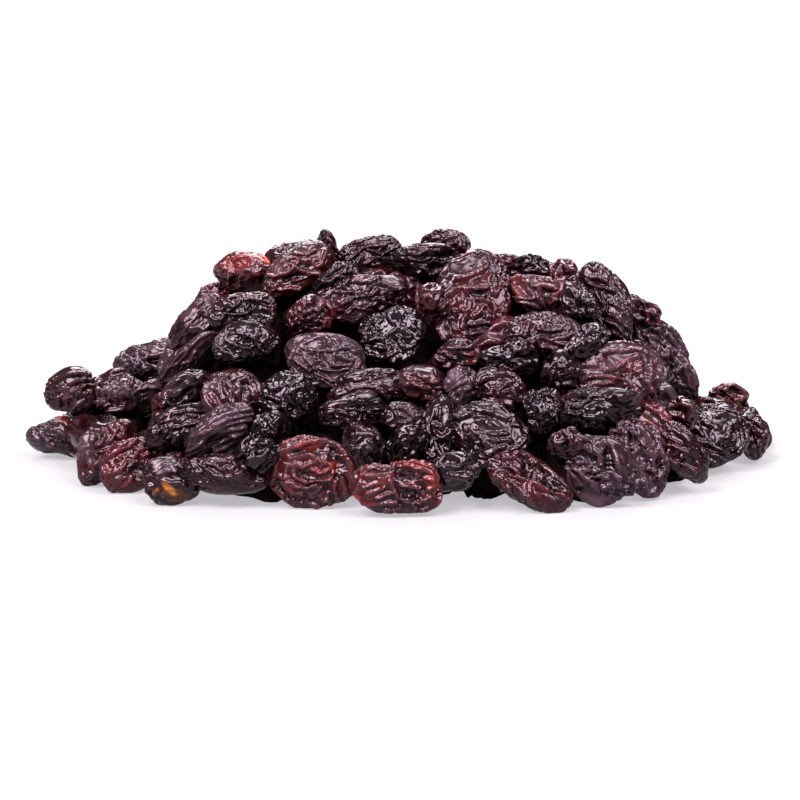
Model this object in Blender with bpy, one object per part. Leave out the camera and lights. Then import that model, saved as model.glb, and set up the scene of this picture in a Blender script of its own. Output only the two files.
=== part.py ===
"""A loose heap of black seedless raisins, lying on a table.

The heap is one solid: a smooth core in the shape of a low ridge, with every raisin that shows
fused on at its true size. Sizes in the constants are millimetres, laid out around a point inside
the heap; the finished heap is in metres, +Z up, +X to the right and +Y away from the viewer,
with the origin on the table under the middle of its box.
"""

import math
import random

import bmesh
import bpy
import numpy as np

MM = 0.001

# The heap's ground form, which the middles of the raisins lie on: ridges that slope down to the
# table, each (left end, right end, middle line, reach past the ends, reach to the sides, height).
RIDGES = (
    (-27.0, 35.0, 1.0, 24.0, 43.0, 38.0),
    (-58.0, -38.0, 2.0, 12.0, 30.0, 14.0),
    (44.0, 58.0, 2.0, 13.0, 30.0, 12.0),
)
CREST_ROUNDING = 0.18
# Its oval foot, as (middle, half width, half depth), and how high the ground would rise inside it.
FOOT = (2.0, 72.0, 50.0)
FOOT_RISE = 62.0

# The viewpoint that the raisins of the front are described from.
SIGHT_RISE = math.radians(11.5)
SIGHT_DISTANCE = 480.0
SIGHT_LEVEL = 11.0
# Where along a line of sight a raisin can lie, as shares of the way to the upright plane,
# and how far behind that plane it can be.
SIGHT_SHARES = (0.84, 1.06)
SIGHT_STEPS = 440
SEEN_REAR = 10.0

# Raisins that show from the front, each where a viewer at that point sees it:
# (across, up, length, width, lean in degrees), measured in the upright plane through the origin.
SEEN_RAISINS = (
    # on the table, left to right
    (-63.0, 4.0, 14.0, 8.0, -8),
    (-57.0, 1.0, 13.5, 10.0, 62),
    (-51.5, -1.5, 13.5, 9.0, 24),
    (-43.5, -4.0, 12.5, 9.5, -12),
    (-34.0, -3.0, 16.5, 8.0, -6),
    (-17.0, -2.8, 17.0, 13.8, 4),
    (-0.5, -5.5, 18.0, 11.4, -4),
    (10.5, -2.5, 12.0, 8.0, 4),
    (24.0, -4.2, 15.0, 10.0, -24),
    (38.0, -2.4, 16.5, 11.8, -48),
    (45.5, 0.8, 15.5, 11.4, -66),
    (53.5, 0.8, 12.5, 7.6, -50),
    (60.5, 4.8, 12.6, 11.6, 10),
    (67.0, 3.6, 9.0, 6.2, -62),
    # second course
    (-53.5, 12.5, 12.5, 9.6, 6),
    (-62.0, 12.8, 10.5, 9.0, 12),
    (-47.5, 11.5, 8.5, 7.0, 30),
    (-42.5, 6.3, 13.8, 8.8, 26),
    (-34.0, 5.0, 18.0, 8.2, 31),
    (-27.0, 0.5, 9.0, 8.0, 50),
    (-24.5, 5.5, 8.5, 7.5, 70),
    (-22.0, 11.5, 12.0, 10.4, 20),
    (-7.0, 2.3, 10.0, 8.4, -60),
    (-9.5, 8.6, 14.5, 7.6, 4),
    (1.0, 2.2, 9.2, 8.0, 40),
    (0.5, 7.5, 9.2, 8.0, 20),
    (7.2, 5.0, 14.5, 9.0, 84),
    (17.0, 4.0, 16.5, 12.2, -8),
    (27.0, 9.0, 10.0, 8.0, -68),
    (31.5, 2.8, 8.0, 7.0, 30),
    (38.0, 10.0, 18.6, 9.0, 6),
    (53.5, 8.2, 8.2, 7.4, 10),
    (62.2, 11.0, 9.6, 7.4, -8),
    # third course
    (-46.5, 18.6, 14.5, 9.4, 4),
    (-40.0, 12.5, 9.0, 7.5, 20),
    (-32.5, 12.3, 11.6, 10.6, -30),
    (-39.8, 18.4, 15.0, 7.8, 41),
    (-14.3, 18.6, 15.4, 11.4, -6),
    (-5.5, 13.3, 14.5, 7.8, 5),
    (4.2, 13.3, 12.0, 7.4, -8),
    (11.5, 13.2, 9.4, 7.4, 58),
    (19.2, 12.6, 12.6, 10.2, -4),
    (30.5, 16.6, 9.0, 8.0, 80),
    (41.6, 15.6, 18.0, 12.6, -6),
    (51.3, 19.2, 16.8, 9.8, -58),
    # fourth course
    (-37.5, 25.0, 12.0, 9.0, 40),
    (-28.8, 22.0, 15.0, 8.4, 12),
    (-29.2, 27.0, 13.8, 9.4, 8),
    (-17.4, 26.8, 9.6, 8.4, 20),
    (-1.5, 23.2, 12.8, 11.8, 60),
    (10.5, 19.4, 11.4, 7.8, 4),
    (27.2, 23.0, 15.0, 9.2, -8),
    (21.0, 18.0, 11.0, 7.6, 6),
    (35.5, 21.5, 9.5, 7.5, 40),
    (6.3, 28.5, 9.0, 8.0, 80),
    # crown
    (-29.9, 35.8, 13.4, 9.2, -6),
    (-35.2, 30.2, 8.0, 6.6, 30),
    (-19.2, 35.6, 15.6, 9.4, 30),
    (-13.4, 39.6, 7.6, 4.6, -74),
    (-12.0, 33.4, 10.0, 7.4, 30),
    (-7.5, 30.8, 16.4, 9.4, 14),
    (-5.5, 38.0, 14.6, 8.6, 16),
    (5.6, 37.0, 13.4, 8.8, 2),
    (9.6, 40.4, 9.0, 6.8, -22),
    (13.3, 29.8, 18.2, 15.6, 62),
    (18.6, 36.4, 10.0, 7.0, -6),
    (26.2, 31.0, 12.8, 9.6, -12),
    (25.0, 34.8, 10.4, 7.0, -6),
    (31.0, 32.4, 10.0, 7.6, 76),
    (33.6, 28.8, 10.4, 7.0, -70),
    (39.8, 28.6, 15.6, 9.6, -62),
    (45.8, 26.6, 8.0, 6.6, -40),
)
# Thickness of a raisin: the section across it is this many square mm, within these limits,
# and at most this share of what its outline leaves room for.
SEEN_SECTION = 78.0
SEEN_DEPTH = (6.4, 9.6)
SEEN_FILL = 0.80
# How far a raisin turns from facing the viewer to lying flat on the slope under it.
SLOPE_SHARE = 0.55
# What would lie this near the table lies on it.
SETTLE_WITHIN = 3.0

# The other raisins, strewn over the rest of the heap: their sizes, how close they lie as a share
# of their sizes, how far they tip and sink in, and the area that they are drawn from.
STREW_SEED = 11
STREW_TRIES = 9000
STREW_LENGTH = (13.0, 17.5)
STREW_WIDTH_SHARE = (0.62, 0.78)
STREW_DEPTH_SHARE = (0.72, 0.92)
STREW_GAP_SHARE = 0.74
STREW_TILT = math.radians(22.0)
STREW_SINK = 5.0
STREW_LOWEST = 3.0
STREW_REACH = (76.0, 54.0)
# A strewn raisin stays hidden or in a gap: each point of its outline shows within this share of
# a front raisin's size from the middle of one that is nearer.
COVER_SHARE = 1.45
OUTLINE_STEPS = 12

# Uneven form of a single raisin: slow waves over its skin, and ends that are pinched or full.
FORM_WAVES = 5
FORM_SWELL = 0.052
FORM_COUNTS = (2.0, 4.5)
FORM_PINCH = 0.16
RAISIN_SUBDIVISIONS = 2

# The core: how deep its top lies under the ground form, its foot as a share of the heap's foot,
# and how high its steep edge would rise.
CORE_SINK = 3.0
CORE_FOOT = 0.84
CORE_RISE = 200.0
CORE_REACH_STEP = 0.5
CORE_SIDES = 24
CORE_RINGS = 16
CORE_FLAT_ANGLE = math.radians(1.0)

# The finished heap's number of triangles, and its skin.
HEAP_TRIANGLES = 11500
SKIN_COLOUR = (0.035, 0.012, 0.016, 1.0)
SKIN_ROUGHNESS = 0.38


def mound_height(x, y):
    """Height of the heap's ground form over a point of the table, in mm; below 0 outside it."""
    best = -1e9
    for left, right, middle, end_reach, side_reach, crest in RIDGES:
        past = max(left - x, x - right, 0.0) / end_reach
        aside = (y - middle) / side_reach
        fall = math.sqrt(past * past + aside * aside + CREST_ROUNDING**2) - CREST_ROUNDING
        best = max(best, crest * (1.0 - fall))
    return min(best, FOOT_RISE * (1.0 - foot_share(x, y)))


def foot_share(x, y):
    """How far out a point of the table lies, 1 being the oval foot of the heap."""
    middle, half_width, half_depth = FOOT
    return math.hypot((x - middle) / half_width, y / half_depth)


def mound_normal(x, y):
    """Unit normal of the ground form."""
    step = 1.0
    slope_x = (mound_height(x + step, y) - mound_height(x - step, y)) / (2 * step)
    slope_y = (mound_height(x, y + step) - mound_height(x, y - step)) / (2 * step)
    normal = np.array((-slope_x, -slope_y, 1.0))
    return normal / np.linalg.norm(normal)


def half_height(axes, halves):
    """How far an ellipsoid reaches up and down from its centre."""
    return float(np.linalg.norm(axes[:, 2] * halves))


def sight_frame():
    """The viewer's eye, and the unit directions towards the viewer, to the right and up."""
    toward = np.array((0.0, -math.cos(SIGHT_RISE), math.sin(SIGHT_RISE)))
    right = np.array((1.0, 0.0, 0.0))
    upward = np.array((0.0, math.sin(SIGHT_RISE), math.cos(SIGHT_RISE)))
    return toward * SIGHT_DISTANCE + upward * SIGHT_LEVEL, toward, right, upward


def as_seen(point):
    """(across, up, distance) of a point as it shows from the viewpoint."""
    eye, toward, right, upward = sight_frame()
    offset = point - eye
    distance = -offset.dot(toward)
    scale = SIGHT_DISTANCE / distance
    return offset.dot(right) * scale, offset.dot(upward) * scale + SIGHT_LEVEL, distance


def lie_on_slope(normal, outline, width):
    """(axes, half sizes) of a raisin that lies flat on a slope and shows the given outline.

    outline is the 2 by 2 matrix of the ellipse that shows, and width its narrow measure.
    """
    _, _, right, upward = sight_frame()
    picture = np.array((right, upward))
    first = np.cross(normal, right)
    first /= np.linalg.norm(first)
    flat = np.array((first, np.cross(normal, first))).T
    shown = picture @ normal
    room = SEEN_FILL / math.sqrt(shown @ np.linalg.inv(outline) @ shown + 1e-6)
    depth = min(max(SEEN_SECTION / width, SEEN_DEPTH[0]), SEEN_DEPTH[1]) / 2
    depth = min(depth, room)
    back = np.linalg.inv(picture @ flat)
    sizes, ways = np.linalg.eigh(back @ (outline - depth**2 * np.outer(shown, shown)) @ back.T)
    _, along = (flat @ ways).T
    axes = np.array((along, np.cross(normal, along), normal))
    return axes, np.array((math.sqrt(sizes[1]), math.sqrt(sizes[0]), depth))


def meet_heap(sight, rest):
    """Where a line of sight meets the heap or the table, as (share of it, whether on the table).

    rest is how high the middle of the raisin lies when it rests on the table, at full distance.
    """
    eye = sight_frame()[0]
    nearest_share = None
    least_gap = math.inf
    on_table = False
    for step in range(SIGHT_STEPS):
        share = SIGHT_SHARES[0] + step * (SIGHT_SHARES[1] - SIGHT_SHARES[0]) / SIGHT_STEPS
        x, y, z = eye + sight * share
        ground = mound_height(x, y)
        settled = ground < rest * share + SETTLE_WITHIN
        gap = z - (rest * share if settled else ground)
        if y <= SEEN_REAR and gap < least_gap:
            least_gap = gap
            nearest_share = share
            on_table = settled
        if y > SEEN_REAR or gap <= 0.0:
            break
    return nearest_share, on_table


def seen_raisin(across, up, length, width, lean):
    """(centre, axes, half sizes) of a raisin given as it shows from the viewpoint."""
    eye, toward, right, upward = sight_frame()
    sight = right * across + upward * up - eye
    turn = math.radians(lean)
    ways = np.array(((math.cos(turn), -math.sin(turn)), (math.sin(turn), math.cos(turn))))
    outline = ways @ np.diag(((length / 2) ** 2, (width / 2) ** 2)) @ ways.T
    rest = math.sqrt(outline[1, 1]) * math.cos(SIGHT_RISE)
    share, on_table = meet_heap(sight, rest)
    centre = eye + sight * share
    lying = 0.0 if on_table else SLOPE_SHARE
    normal = toward * (1.0 - lying) + mound_normal(centre[0], centre[1]) * lying
    axes, halves = lie_on_slope(normal / np.linalg.norm(normal), outline, width)
    return centre, axes, halves * share


def strewn_raisin(draw):
    """A raisin lying on the ground form at a place drawn at random, or None outside it."""
    x = draw.uniform(-STREW_REACH[0], STREW_REACH[0])
    y = draw.uniform(-STREW_REACH[1], STREW_REACH[1])
    length = draw.uniform(*STREW_LENGTH)
    width = length * draw.uniform(*STREW_WIDTH_SHARE)
    depth = width * draw.uniform(*STREW_DEPTH_SHARE)
    heading = draw.uniform(0.0, math.pi)
    tilt = draw.uniform(-STREW_TILT, STREW_TILT)
    height = mound_height(x, y) - draw.uniform(0.0, STREW_SINK)
    if height < STREW_LOWEST:
        return None
    normal = mound_normal(x, y)
    along = np.array((math.cos(heading), math.sin(heading), 0.0))
    along -= normal * along.dot(normal)
    along /= np.linalg.norm(along)
    along = along * math.cos(tilt) + normal * math.sin(tilt)
    across = np.cross(normal, along)
    across /= np.linalg.norm(across)
    axes = np.array((along, across, np.cross(along, across)))
    halves = np.array((length, width, depth)) / 2
    centre = np.array((x, y, height))
    floor_level = half_height(axes, halves)
    if centre[2] < floor_level + SETTLE_WITHIN:
        centre[2] = floor_level
    return centre, axes, halves


def lies_clear(raisin, others):
    """Whether a raisin keeps its distance from all the others."""
    centre, _, halves = raisin
    for other_centre, _, other_halves in others:
        room = STREW_GAP_SHARE * (halves.mean() + other_halves.mean())
        if np.linalg.norm(centre - other_centre) < room:
            return False
    return True


def stays_behind(raisin, laid):
    """Whether a raisin shows to the viewer only between and behind the hand-laid ones."""
    centre, axes, halves = raisin
    _, _, right, upward = sight_frame()
    spread = (axes.T * halves) @ (axes.T * halves).T
    outline = [centre]
    for step in range(OUTLINE_STEPS):
        turn = 2 * math.pi * step / OUTLINE_STEPS
        way = right * math.cos(turn) + upward * math.sin(turn)
        outline.append(centre + spread @ way / math.sqrt(way @ spread @ way))
    own_distance = as_seen(centre)[2]
    for point in outline:
        across, up, _ = as_seen(point)
        if not any(
            own_distance > distance
            and math.hypot(across - at_across, up - at_up) < COVER_SHARE * size
            for at_across, at_up, distance, size in laid
        ):
            return False
    return True


def lay_out_raisins():
    """Every raisin of the heap as (centre, axes, half sizes), in mm."""
    raisins = [seen_raisin(*row) for row in SEEN_RAISINS]
    laid = [(*as_seen(centre), halves[:2].mean()) for centre, _, halves in raisins]
    draw = random.Random(STREW_SEED)
    for _ in range(STREW_TRIES):
        raisin = strewn_raisin(draw)
        if raisin is None or not lies_clear(raisin, raisins):
            continue
        if stays_behind(raisin, laid):
            raisins.append(raisin)
    return raisins


def raisin_form(directions, index):
    """Radial scale of an uneven raisin in each unit direction, drawn from its index."""
    draw = np.random.RandomState(index)
    scale = np.ones(len(directions))
    for _ in range(FORM_WAVES):
        axis = draw.normal(size=3)
        axis /= np.linalg.norm(axis)
        count = draw.uniform(*FORM_COUNTS)
        phase = draw.uniform(0.0, 2 * math.pi)
        scale += FORM_SWELL * np.sin(count * directions @ axis + phase)
    ends = np.abs(directions[:, 0]) ** 3
    return scale * (1.0 + FORM_PINCH * ends * draw.uniform(-1.0, 1.0))


def add_object(name, mesh, collection):
    """A new object in a collection."""
    thing = bpy.data.objects.new(name, mesh)
    collection.objects.link(thing)
    return thing


def build_raisin(index, raisin, collection):
    """One raisin as a coarse closed mesh, resting on the table where it reaches down to it."""
    centre, axes, halves = raisin
    work = bmesh.new()
    bmesh.ops.create_icosphere(work, subdivisions=RAISIN_SUBDIVISIONS, radius=1.0)
    directions = np.array([vert.co[:] for vert in work.verts])
    points = directions * raisin_form(directions, index)[:, None] * halves
    places = points @ axes + centre
    places[:, 2] = np.maximum(places[:, 2], 0.0)
    for vert, place in zip(work.verts, places):
        vert.co = place * MM
    mesh = bpy.data.meshes.new(f"raisin_{index:03d}")
    work.to_mesh(mesh)
    work.free()
    return add_object(mesh.name, mesh, collection)


def core_height(x, y):
    """Height of the core over a point of the table, in mm."""
    edge = CORE_RISE * (1.0 - foot_share(x, y) / CORE_FOOT)
    return max(min(mound_height(x, y) - CORE_SINK, edge), 0.0)


def core_reach(heading):
    """Distance from the middle of the heap to the core's foot in one direction, in mm."""
    reach = 0.0
    while core_height(reach * math.cos(heading), reach * math.sin(heading)) > 0.0:
        reach += CORE_REACH_STEP
    return reach


def build_core(collection):
    """The core: a dome whose top follows the ground form, sunk under the raisins."""
    work = bmesh.new()
    bmesh.ops.create_uvsphere(work, u_segments=CORE_SIDES, v_segments=CORE_RINGS, radius=1.0)
    for vert in work.verts:
        heading = math.atan2(vert.co.y, vert.co.x)
        radius = math.hypot(vert.co.x, vert.co.y) * core_reach(heading)
        x = radius * math.cos(heading)
        y = radius * math.sin(heading)
        z = core_height(x, y) if vert.co.z > 0.0 else 0.0
        vert.co = (x * MM, y * MM, z * MM)
    bmesh.ops.dissolve_limit(
        work, angle_limit=CORE_FLAT_ANGLE, verts=work.verts, edges=work.edges
    )
    mesh = bpy.data.meshes.new("core")
    work.to_mesh(mesh)
    work.free()
    return add_object("raisin_heap", mesh, collection)


def apply_modifier(thing, modifier):
    """Replaces an object's mesh by what its modifier makes of it."""
    graph = bpy.context.evaluated_depsgraph_get()
    made = bpy.data.meshes.new_from_object(thing.evaluated_get(graph))
    thing.modifiers.remove(modifier)
    thing.data = made


def drop_scraps(mesh):
    """Keeps only the largest connected body of a mesh, in triangles."""
    work = bmesh.new()
    work.from_mesh(mesh)
    left = set(work.verts)
    bodies = []
    while left:
        body = {left.pop()}
        edge_of_body = list(body)
        while edge_of_body:
            vert = edge_of_body.pop()
            for edge in vert.link_edges:
                other = edge.other_vert(vert)
                if other in left:
                    left.remove(other)
                    body.add(other)
                    edge_of_body.append(other)
        bodies.append(body)
    bodies.sort(key=len)
    for body in bodies[:-1]:
        bmesh.ops.delete(work, geom=list(body), context="VERTS")
    bmesh.ops.triangulate(work, faces=work.faces)
    work.to_mesh(mesh)
    work.free()


def join(core, pieces):
    """Fuses the raisins onto the core by one union, and thins the seams between them."""
    union = core.modifiers.new("fuse", "BOOLEAN")
    union.operation = "UNION"
    union.operand_type = "COLLECTION"
    union.collection = pieces
    apply_modifier(core, union)
    drop_scraps(core.data)
    thinning = core.modifiers.new("thin", "DECIMATE")
    thinning.ratio = HEAP_TRIANGLES / len(core.data.polygons)
    thinning.use_collapse_triangulate = True
    apply_modifier(core, thinning)


def centre_on_origin(mesh):
    """Moves a mesh so that the middle of its box is over the origin."""
    places = np.array([vert.co[:] for vert in mesh.vertices])
    middle = (places.min(axis=0) + places.max(axis=0)) / 2
    for vert in mesh.vertices:
        vert.co.x -= middle[0]
        vert.co.y -= middle[1]


def raisin_skin():
    """Near-black purple skin with a soft gloss."""
    material = bpy.data.materials.new("raisin_skin")
    material.use_nodes = True
    shader = material.node_tree.nodes["Principled BSDF"]
    shader.inputs["Base Color"].default_value = SKIN_COLOUR
    shader.inputs["Roughness"].default_value = SKIN_ROUGHNESS
    shader.inputs["Metallic"].default_value = 0.0
    return material


def main():
    for old in list(bpy.data.objects):
        bpy.data.objects.remove(old)
    heap = bpy.data.collections.new("raisin_heap")
    pieces = bpy.data.collections.new("loose_raisins")
    for collection in (heap, pieces):
        bpy.context.scene.collection.children.link(collection)
    core = build_core(heap)
    for index, raisin in enumerate(lay_out_raisins()):
        build_raisin(index, raisin, pieces)
    join(core, pieces)
    centre_on_origin(core.data)
    core.data.materials.append(raisin_skin())
    for loose in list(pieces.objects):
        bpy.data.objects.remove(loose)
    bpy.data.collections.remove(pieces)


main()
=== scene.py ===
"""Looks of a loose heap of black seedless raisins: skins, wrinkles, light and camera.

The heap is laid out by the same rule as its solid, in millimetres around a point inside it, and
then moved to the solid's place. Every raisin is a closed mesh whose skin is wrinkled by a small
simulation: the skin keeps its area while the flesh under it has shrunk, so it buckles, first
into broad folds and then into fine ones. The raisins that show best also have their main folds
and hollows drawn in, nearly all of them where the real ones lie.
"""

import math
import random

import bmesh
import bpy
import numpy as np
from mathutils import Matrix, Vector


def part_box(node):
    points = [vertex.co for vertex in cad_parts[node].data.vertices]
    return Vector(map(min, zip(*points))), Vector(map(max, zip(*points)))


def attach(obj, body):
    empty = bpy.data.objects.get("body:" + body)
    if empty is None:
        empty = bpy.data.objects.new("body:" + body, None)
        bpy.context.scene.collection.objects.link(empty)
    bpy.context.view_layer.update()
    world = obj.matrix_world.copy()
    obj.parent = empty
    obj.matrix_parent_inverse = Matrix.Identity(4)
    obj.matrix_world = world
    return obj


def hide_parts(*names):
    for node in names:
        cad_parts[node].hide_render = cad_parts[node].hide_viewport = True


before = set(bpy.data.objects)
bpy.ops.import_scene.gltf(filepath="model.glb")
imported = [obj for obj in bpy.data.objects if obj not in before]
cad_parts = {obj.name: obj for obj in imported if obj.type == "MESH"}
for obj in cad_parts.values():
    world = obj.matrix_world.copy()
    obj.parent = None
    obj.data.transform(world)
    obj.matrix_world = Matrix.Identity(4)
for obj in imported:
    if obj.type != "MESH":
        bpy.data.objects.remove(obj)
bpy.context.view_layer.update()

MM = 0.001
NODE = "raisin_heap"

# The heap's ground form, which the middles of the raisins lie on: ridges that slope down to the
# table, each (left end, right end, middle line, reach past the ends, reach to the sides, height).
RIDGES = (
    (-27.0, 35.0, 1.0, 24.0, 43.0, 38.0),
    (-58.0, -38.0, 2.0, 12.0, 30.0, 14.0),
    (44.0, 58.0, 2.0, 13.0, 30.0, 12.0),
)
CREST_ROUNDING = 0.18
# Its oval foot, as (middle, half width, half depth), and how high the ground would rise inside it.
FOOT = (2.0, 72.0, 50.0)
FOOT_RISE = 62.0

# The viewpoint that the raisins of the front are described from.
SIGHT_RISE = math.radians(11.5)
SIGHT_DISTANCE = 480.0
SIGHT_LEVEL = 11.0
# Where along a line of sight a raisin can lie, as shares of the way to the upright plane,
# and how far behind that plane it can be.
SIGHT_SHARES = (0.84, 1.06)
SIGHT_STEPS = 440
SEEN_REAR = 10.0

# Raisins that show from the front, each where a viewer at that point sees it:
# (across, up, length, width, lean in degrees, kind of skin, kind of folds), measured in the
# upright plane through the layout's origin.
SEEN_RAISINS = (
    # on the table, left to right
    (-63.0, 4.0, 14.0, 8.0, -8, "bloom", "drawn"),
    (-57.0, 1.0, 13.5, 10.0, 62, "plum", "drawn"),
    (-51.5, -1.5, 13.5, 9.0, 24, "wine", "drawn"),
    (-43.5, -4.0, 12.5, 9.5, -12, "jet", "drawn"),
    (-34.0, -3.0, 16.5, 8.0, -6, "jet", "drawn"),
    (-17.0, -2.8, 17.0, 13.8, 4, "red", "drawn"),
    (-0.5, -5.5, 18.0, 11.4, -4, "red", "drawn"),
    (10.5, -2.5, 12.0, 8.0, 4, "pitch", "broad"),
    (24.0, -4.2, 15.0, 10.0, -24, "wine", "drawn"),
    (38.0, -2.4, 16.5, 11.8, -48, "bloom", "carved"),
    (45.5, 0.8, 15.5, 11.4, -66, "bloom", "carved"),
    (53.5, 0.8, 12.5, 7.6, -50, "plum", "drawn"),
    (60.5, 4.8, 12.6, 11.6, 10, "pitch", "drawn"),
    (67.0, 3.6, 9.0, 6.2, -62, "jet", "soft"),
    # second course
    (-53.5, 12.5, 12.5, 9.6, 6, "brown", "drawn"),
    (-62.0, 12.8, 10.5, 9.0, 12, "plum", "drawn"),
    (-47.5, 11.5, 8.5, 7.0, 30, "bloom", "drawn"),
    (-42.5, 6.3, 13.8, 8.8, 26, "jet", "drawn"),
    (-34.0, 5.0, 18.0, 8.2, 31, "bloom", "drawn"),
    (-27.0, 0.5, 9.0, 8.0, 50, "pitch", "fine"),
    (-24.5, 5.5, 8.5, 7.5, 70, "pitch", "drawn"),
    (-22.0, 11.5, 12.0, 10.4, 20, "pitch", "drawn"),
    (-7.0, 2.3, 10.0, 8.4, -60, "jet", "drawn"),
    (-9.5, 8.6, 14.5, 7.6, 4, "jet", "drawn"),
    (1.0, 2.2, 9.2, 8.0, 40, "pitch", "fine"),
    (0.5, 7.5, 9.2, 8.0, 20, "jet", "drawn"),
    (7.2, 5.0, 14.5, 9.0, 84, "pitch", "drawn"),
    (17.0, 4.0, 16.5, 12.2, -8, "jet", "drawn"),
    (27.0, 9.0, 10.0, 8.0, -68, "pitch", "fine"),
    (31.5, 2.8, 8.0, 7.0, 30, "plum", "broad"),
    (38.0, 10.0, 18.6, 9.0, 6, "jet", "drawn"),
    (53.5, 8.2, 8.2, 7.4, 10, "plum", "broad"),
    (62.2, 11.0, 9.6, 7.4, -8, "red", "broad"),
    # third course
    (-46.5, 18.6, 14.5, 9.4, 4, "bloom", "drawn"),
    (-40.0, 12.5, 9.0, 7.5, 20, "jet", "fine"),
    (-32.5, 12.3, 11.6, 10.6, -30, "plum", "drawn"),
    (-39.8, 18.4, 15.0, 7.8, 41, "bloom", "drawn"),
    (-14.3, 18.6, 15.4, 11.4, -6, "bloom", "drawn"),
    (-5.5, 13.3, 14.5, 7.8, 5, "plum", "drawn"),
    (4.2, 13.3, 12.0, 7.4, -8, "brown", "drawn"),
    (11.5, 13.2, 9.4, 7.4, 58, "bloom", "drawn"),
    (19.2, 12.6, 12.6, 10.2, -4, "jet", "drawn"),
    (30.5, 16.6, 9.0, 8.0, 80, "jet", "drawn"),
    (41.6, 15.6, 18.0, 12.6, -6, "red", "drawn"),
    (51.3, 19.2, 16.8, 9.8, -58, "bloom", "carved"),
    # fourth course
    (-37.5, 25.0, 12.0, 9.0, 40, "brown", "drawn"),
    (-28.8, 22.0, 15.0, 8.4, 12, "jet", "drawn"),
    (-29.2, 27.0, 13.8, 9.4, 8, "jet", "drawn"),
    (-17.4, 26.8, 9.6, 8.4, 20, "plum", "fine"),
    (-1.5, 23.2, 12.8, 11.8, 60, "pitch", "drawn"),
    (10.5, 19.4, 11.4, 7.8, 4, "plum", "drawn"),
    (27.2, 23.0, 15.0, 9.2, -8, "plum", "drawn"),
    (21.0, 18.0, 11.0, 7.6, 6, "pitch", "fine"),
    (35.5, 21.5, 9.5, 7.5, 40, "pitch", "fine"),
    (6.3, 28.5, 9.0, 8.0, 80, "wine", "fine"),
    # crown
    (-29.9, 35.8, 13.4, 9.2, -6, "red", "drawn"),
    (-35.2, 30.2, 8.0, 6.6, 30, "wine", "drawn"),
    (-19.2, 35.6, 15.6, 9.4, 30, "brown", "drawn"),
    (-13.4, 39.6, 7.6, 4.6, -74, "plum", "drawn"),
    (-12.0, 33.4, 10.0, 7.4, 30, "jet", "fine"),
    (-7.5, 30.8, 16.4, 9.4, 14, "plum", "drawn"),
    (-5.5, 38.0, 14.6, 8.6, 16, "jet", "drawn"),
    (5.6, 37.0, 13.4, 8.8, 2, "jet", "drawn"),
    (9.6, 40.4, 9.0, 6.8, -22, "plum", "drawn"),
    (13.3, 29.8, 18.2, 15.6, 62, "plum", "drawn"),
    (18.6, 36.4, 10.0, 7.0, -6, "wine", "fine"),
    (26.2, 31.0, 12.8, 9.6, -12, "red", "drawn"),
    (25.0, 34.8, 10.4, 7.0, -6, "jet", "fine"),
    (31.0, 32.4, 10.0, 7.6, 76, "wine", "broad"),
    (33.6, 28.8, 10.4, 7.0, -70, "jet", "fine"),
    (39.8, 28.6, 15.6, 9.6, -62, "jet", "drawn"),
    (45.8, 26.6, 8.0, 6.6, -40, "plum", "broad"),
)

# Thickness of a raisin: the section across it is this many square mm, within these limits,
# and at most this share of what its outline leaves room for.
SEEN_SECTION = 78.0
SEEN_DEPTH = (6.4, 9.6)
SEEN_FILL = 0.80
# Keeps that room finite for a raisin that faces the viewer.
FACING_LEAST = 1e-6
# How far a raisin turns from facing the viewer to lying flat on the slope under it.
SLOPE_SHARE = 0.55
# What would lie this near the table lies on it.
SETTLE_WITHIN = 3.0

# The other raisins, strewn over the rest of the heap: their sizes, how close they lie as a share
# of their sizes, how far they tip and sink in, and the area that they are drawn from.
STREW_SEED = 11
STREW_TRIES = 9000
STREW_LENGTH = (13.0, 17.5)
STREW_WIDTH_SHARE = (0.62, 0.78)
STREW_DEPTH_SHARE = (0.72, 0.92)
STREW_GAP_SHARE = 0.74
STREW_TILT = math.radians(22.0)
STREW_SINK = 5.0
STREW_LOWEST = 3.0
STREW_REACH = (76.0, 54.0)
# A strewn raisin stays hidden or in a gap: each point of its outline shows within this share of
# a front raisin's size from the middle of one that is nearer.
COVER_SHARE = 1.45
OUTLINE_STEPS = 12

# Uneven form of a single raisin: slow waves over its skin, with their number, their height as a
# share and the least and most over a radian, and ends that are pinched or full.
FORM_WAVES = 5
FORM_SWELL = 0.052
FORM_COUNTS = (2.0, 4.5)
FORM_PINCH = 0.16
# The solid's raisins are icospheres with this many subdivisions.
RAISIN_SUBDIVISIONS = 2

# The core: how deep its top lies under the ground form, its foot as a share of the heap's foot,
# how high its steep edge would rise, and the step in mm that its reach is measured by.
CORE_SINK = 3.0
CORE_FOOT = 0.84
CORE_RISE = 200.0
CORE_REACH_STEP = 0.5
# The core that is seen follows this rule too, but lies further in: how far its sides reach as a
# share, how much deeper its top lies, its least height, and its lumps, (height in mm, least and
# most waves over a radian).
CORE_REACH_SHARE = 0.66
CORE_DROP = 7.0
CORE_LEAST = 0.3
CORE_SEED = 3
CORE_LUMPS = (1.3, 14.0, 30.0)
# Parts that its net cuts an icosahedron's edge into.
CORE_FREQUENCY = 24

# How a skin folds, by kind, in this order: the share of length that the broad folds take up and
# the distance between them in mm, the same for the fine wrinkles, how much more of it lies along
# the raisin than across, and how strongly the raisin is flattened on its sides.
FOLD_MEASURES = ("broad", "broad_gap", "fine", "fine_gap", "lengthwise", "flat")
FOLDS = {
    "fine": (0.14, 6.5, 0.17, 2.8, 0.35, 1.0),
    "long": (0.12, 6.5, 0.22, 2.9, 0.75, 1.0),
    "broad": (0.22, 7.5, 0.14, 3.6, 0.1, 1.0),
    "soft": (0.16, 7.5, 0.12, 4.2, 0.3, 1.0),
    "drawn": (0.05, 6.5, 0.10, 2.2, 0.2, 0.7),
    "carved": (0.15, 6.5, 0.15, 2.6, 0.3, 0.8),
}
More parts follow.
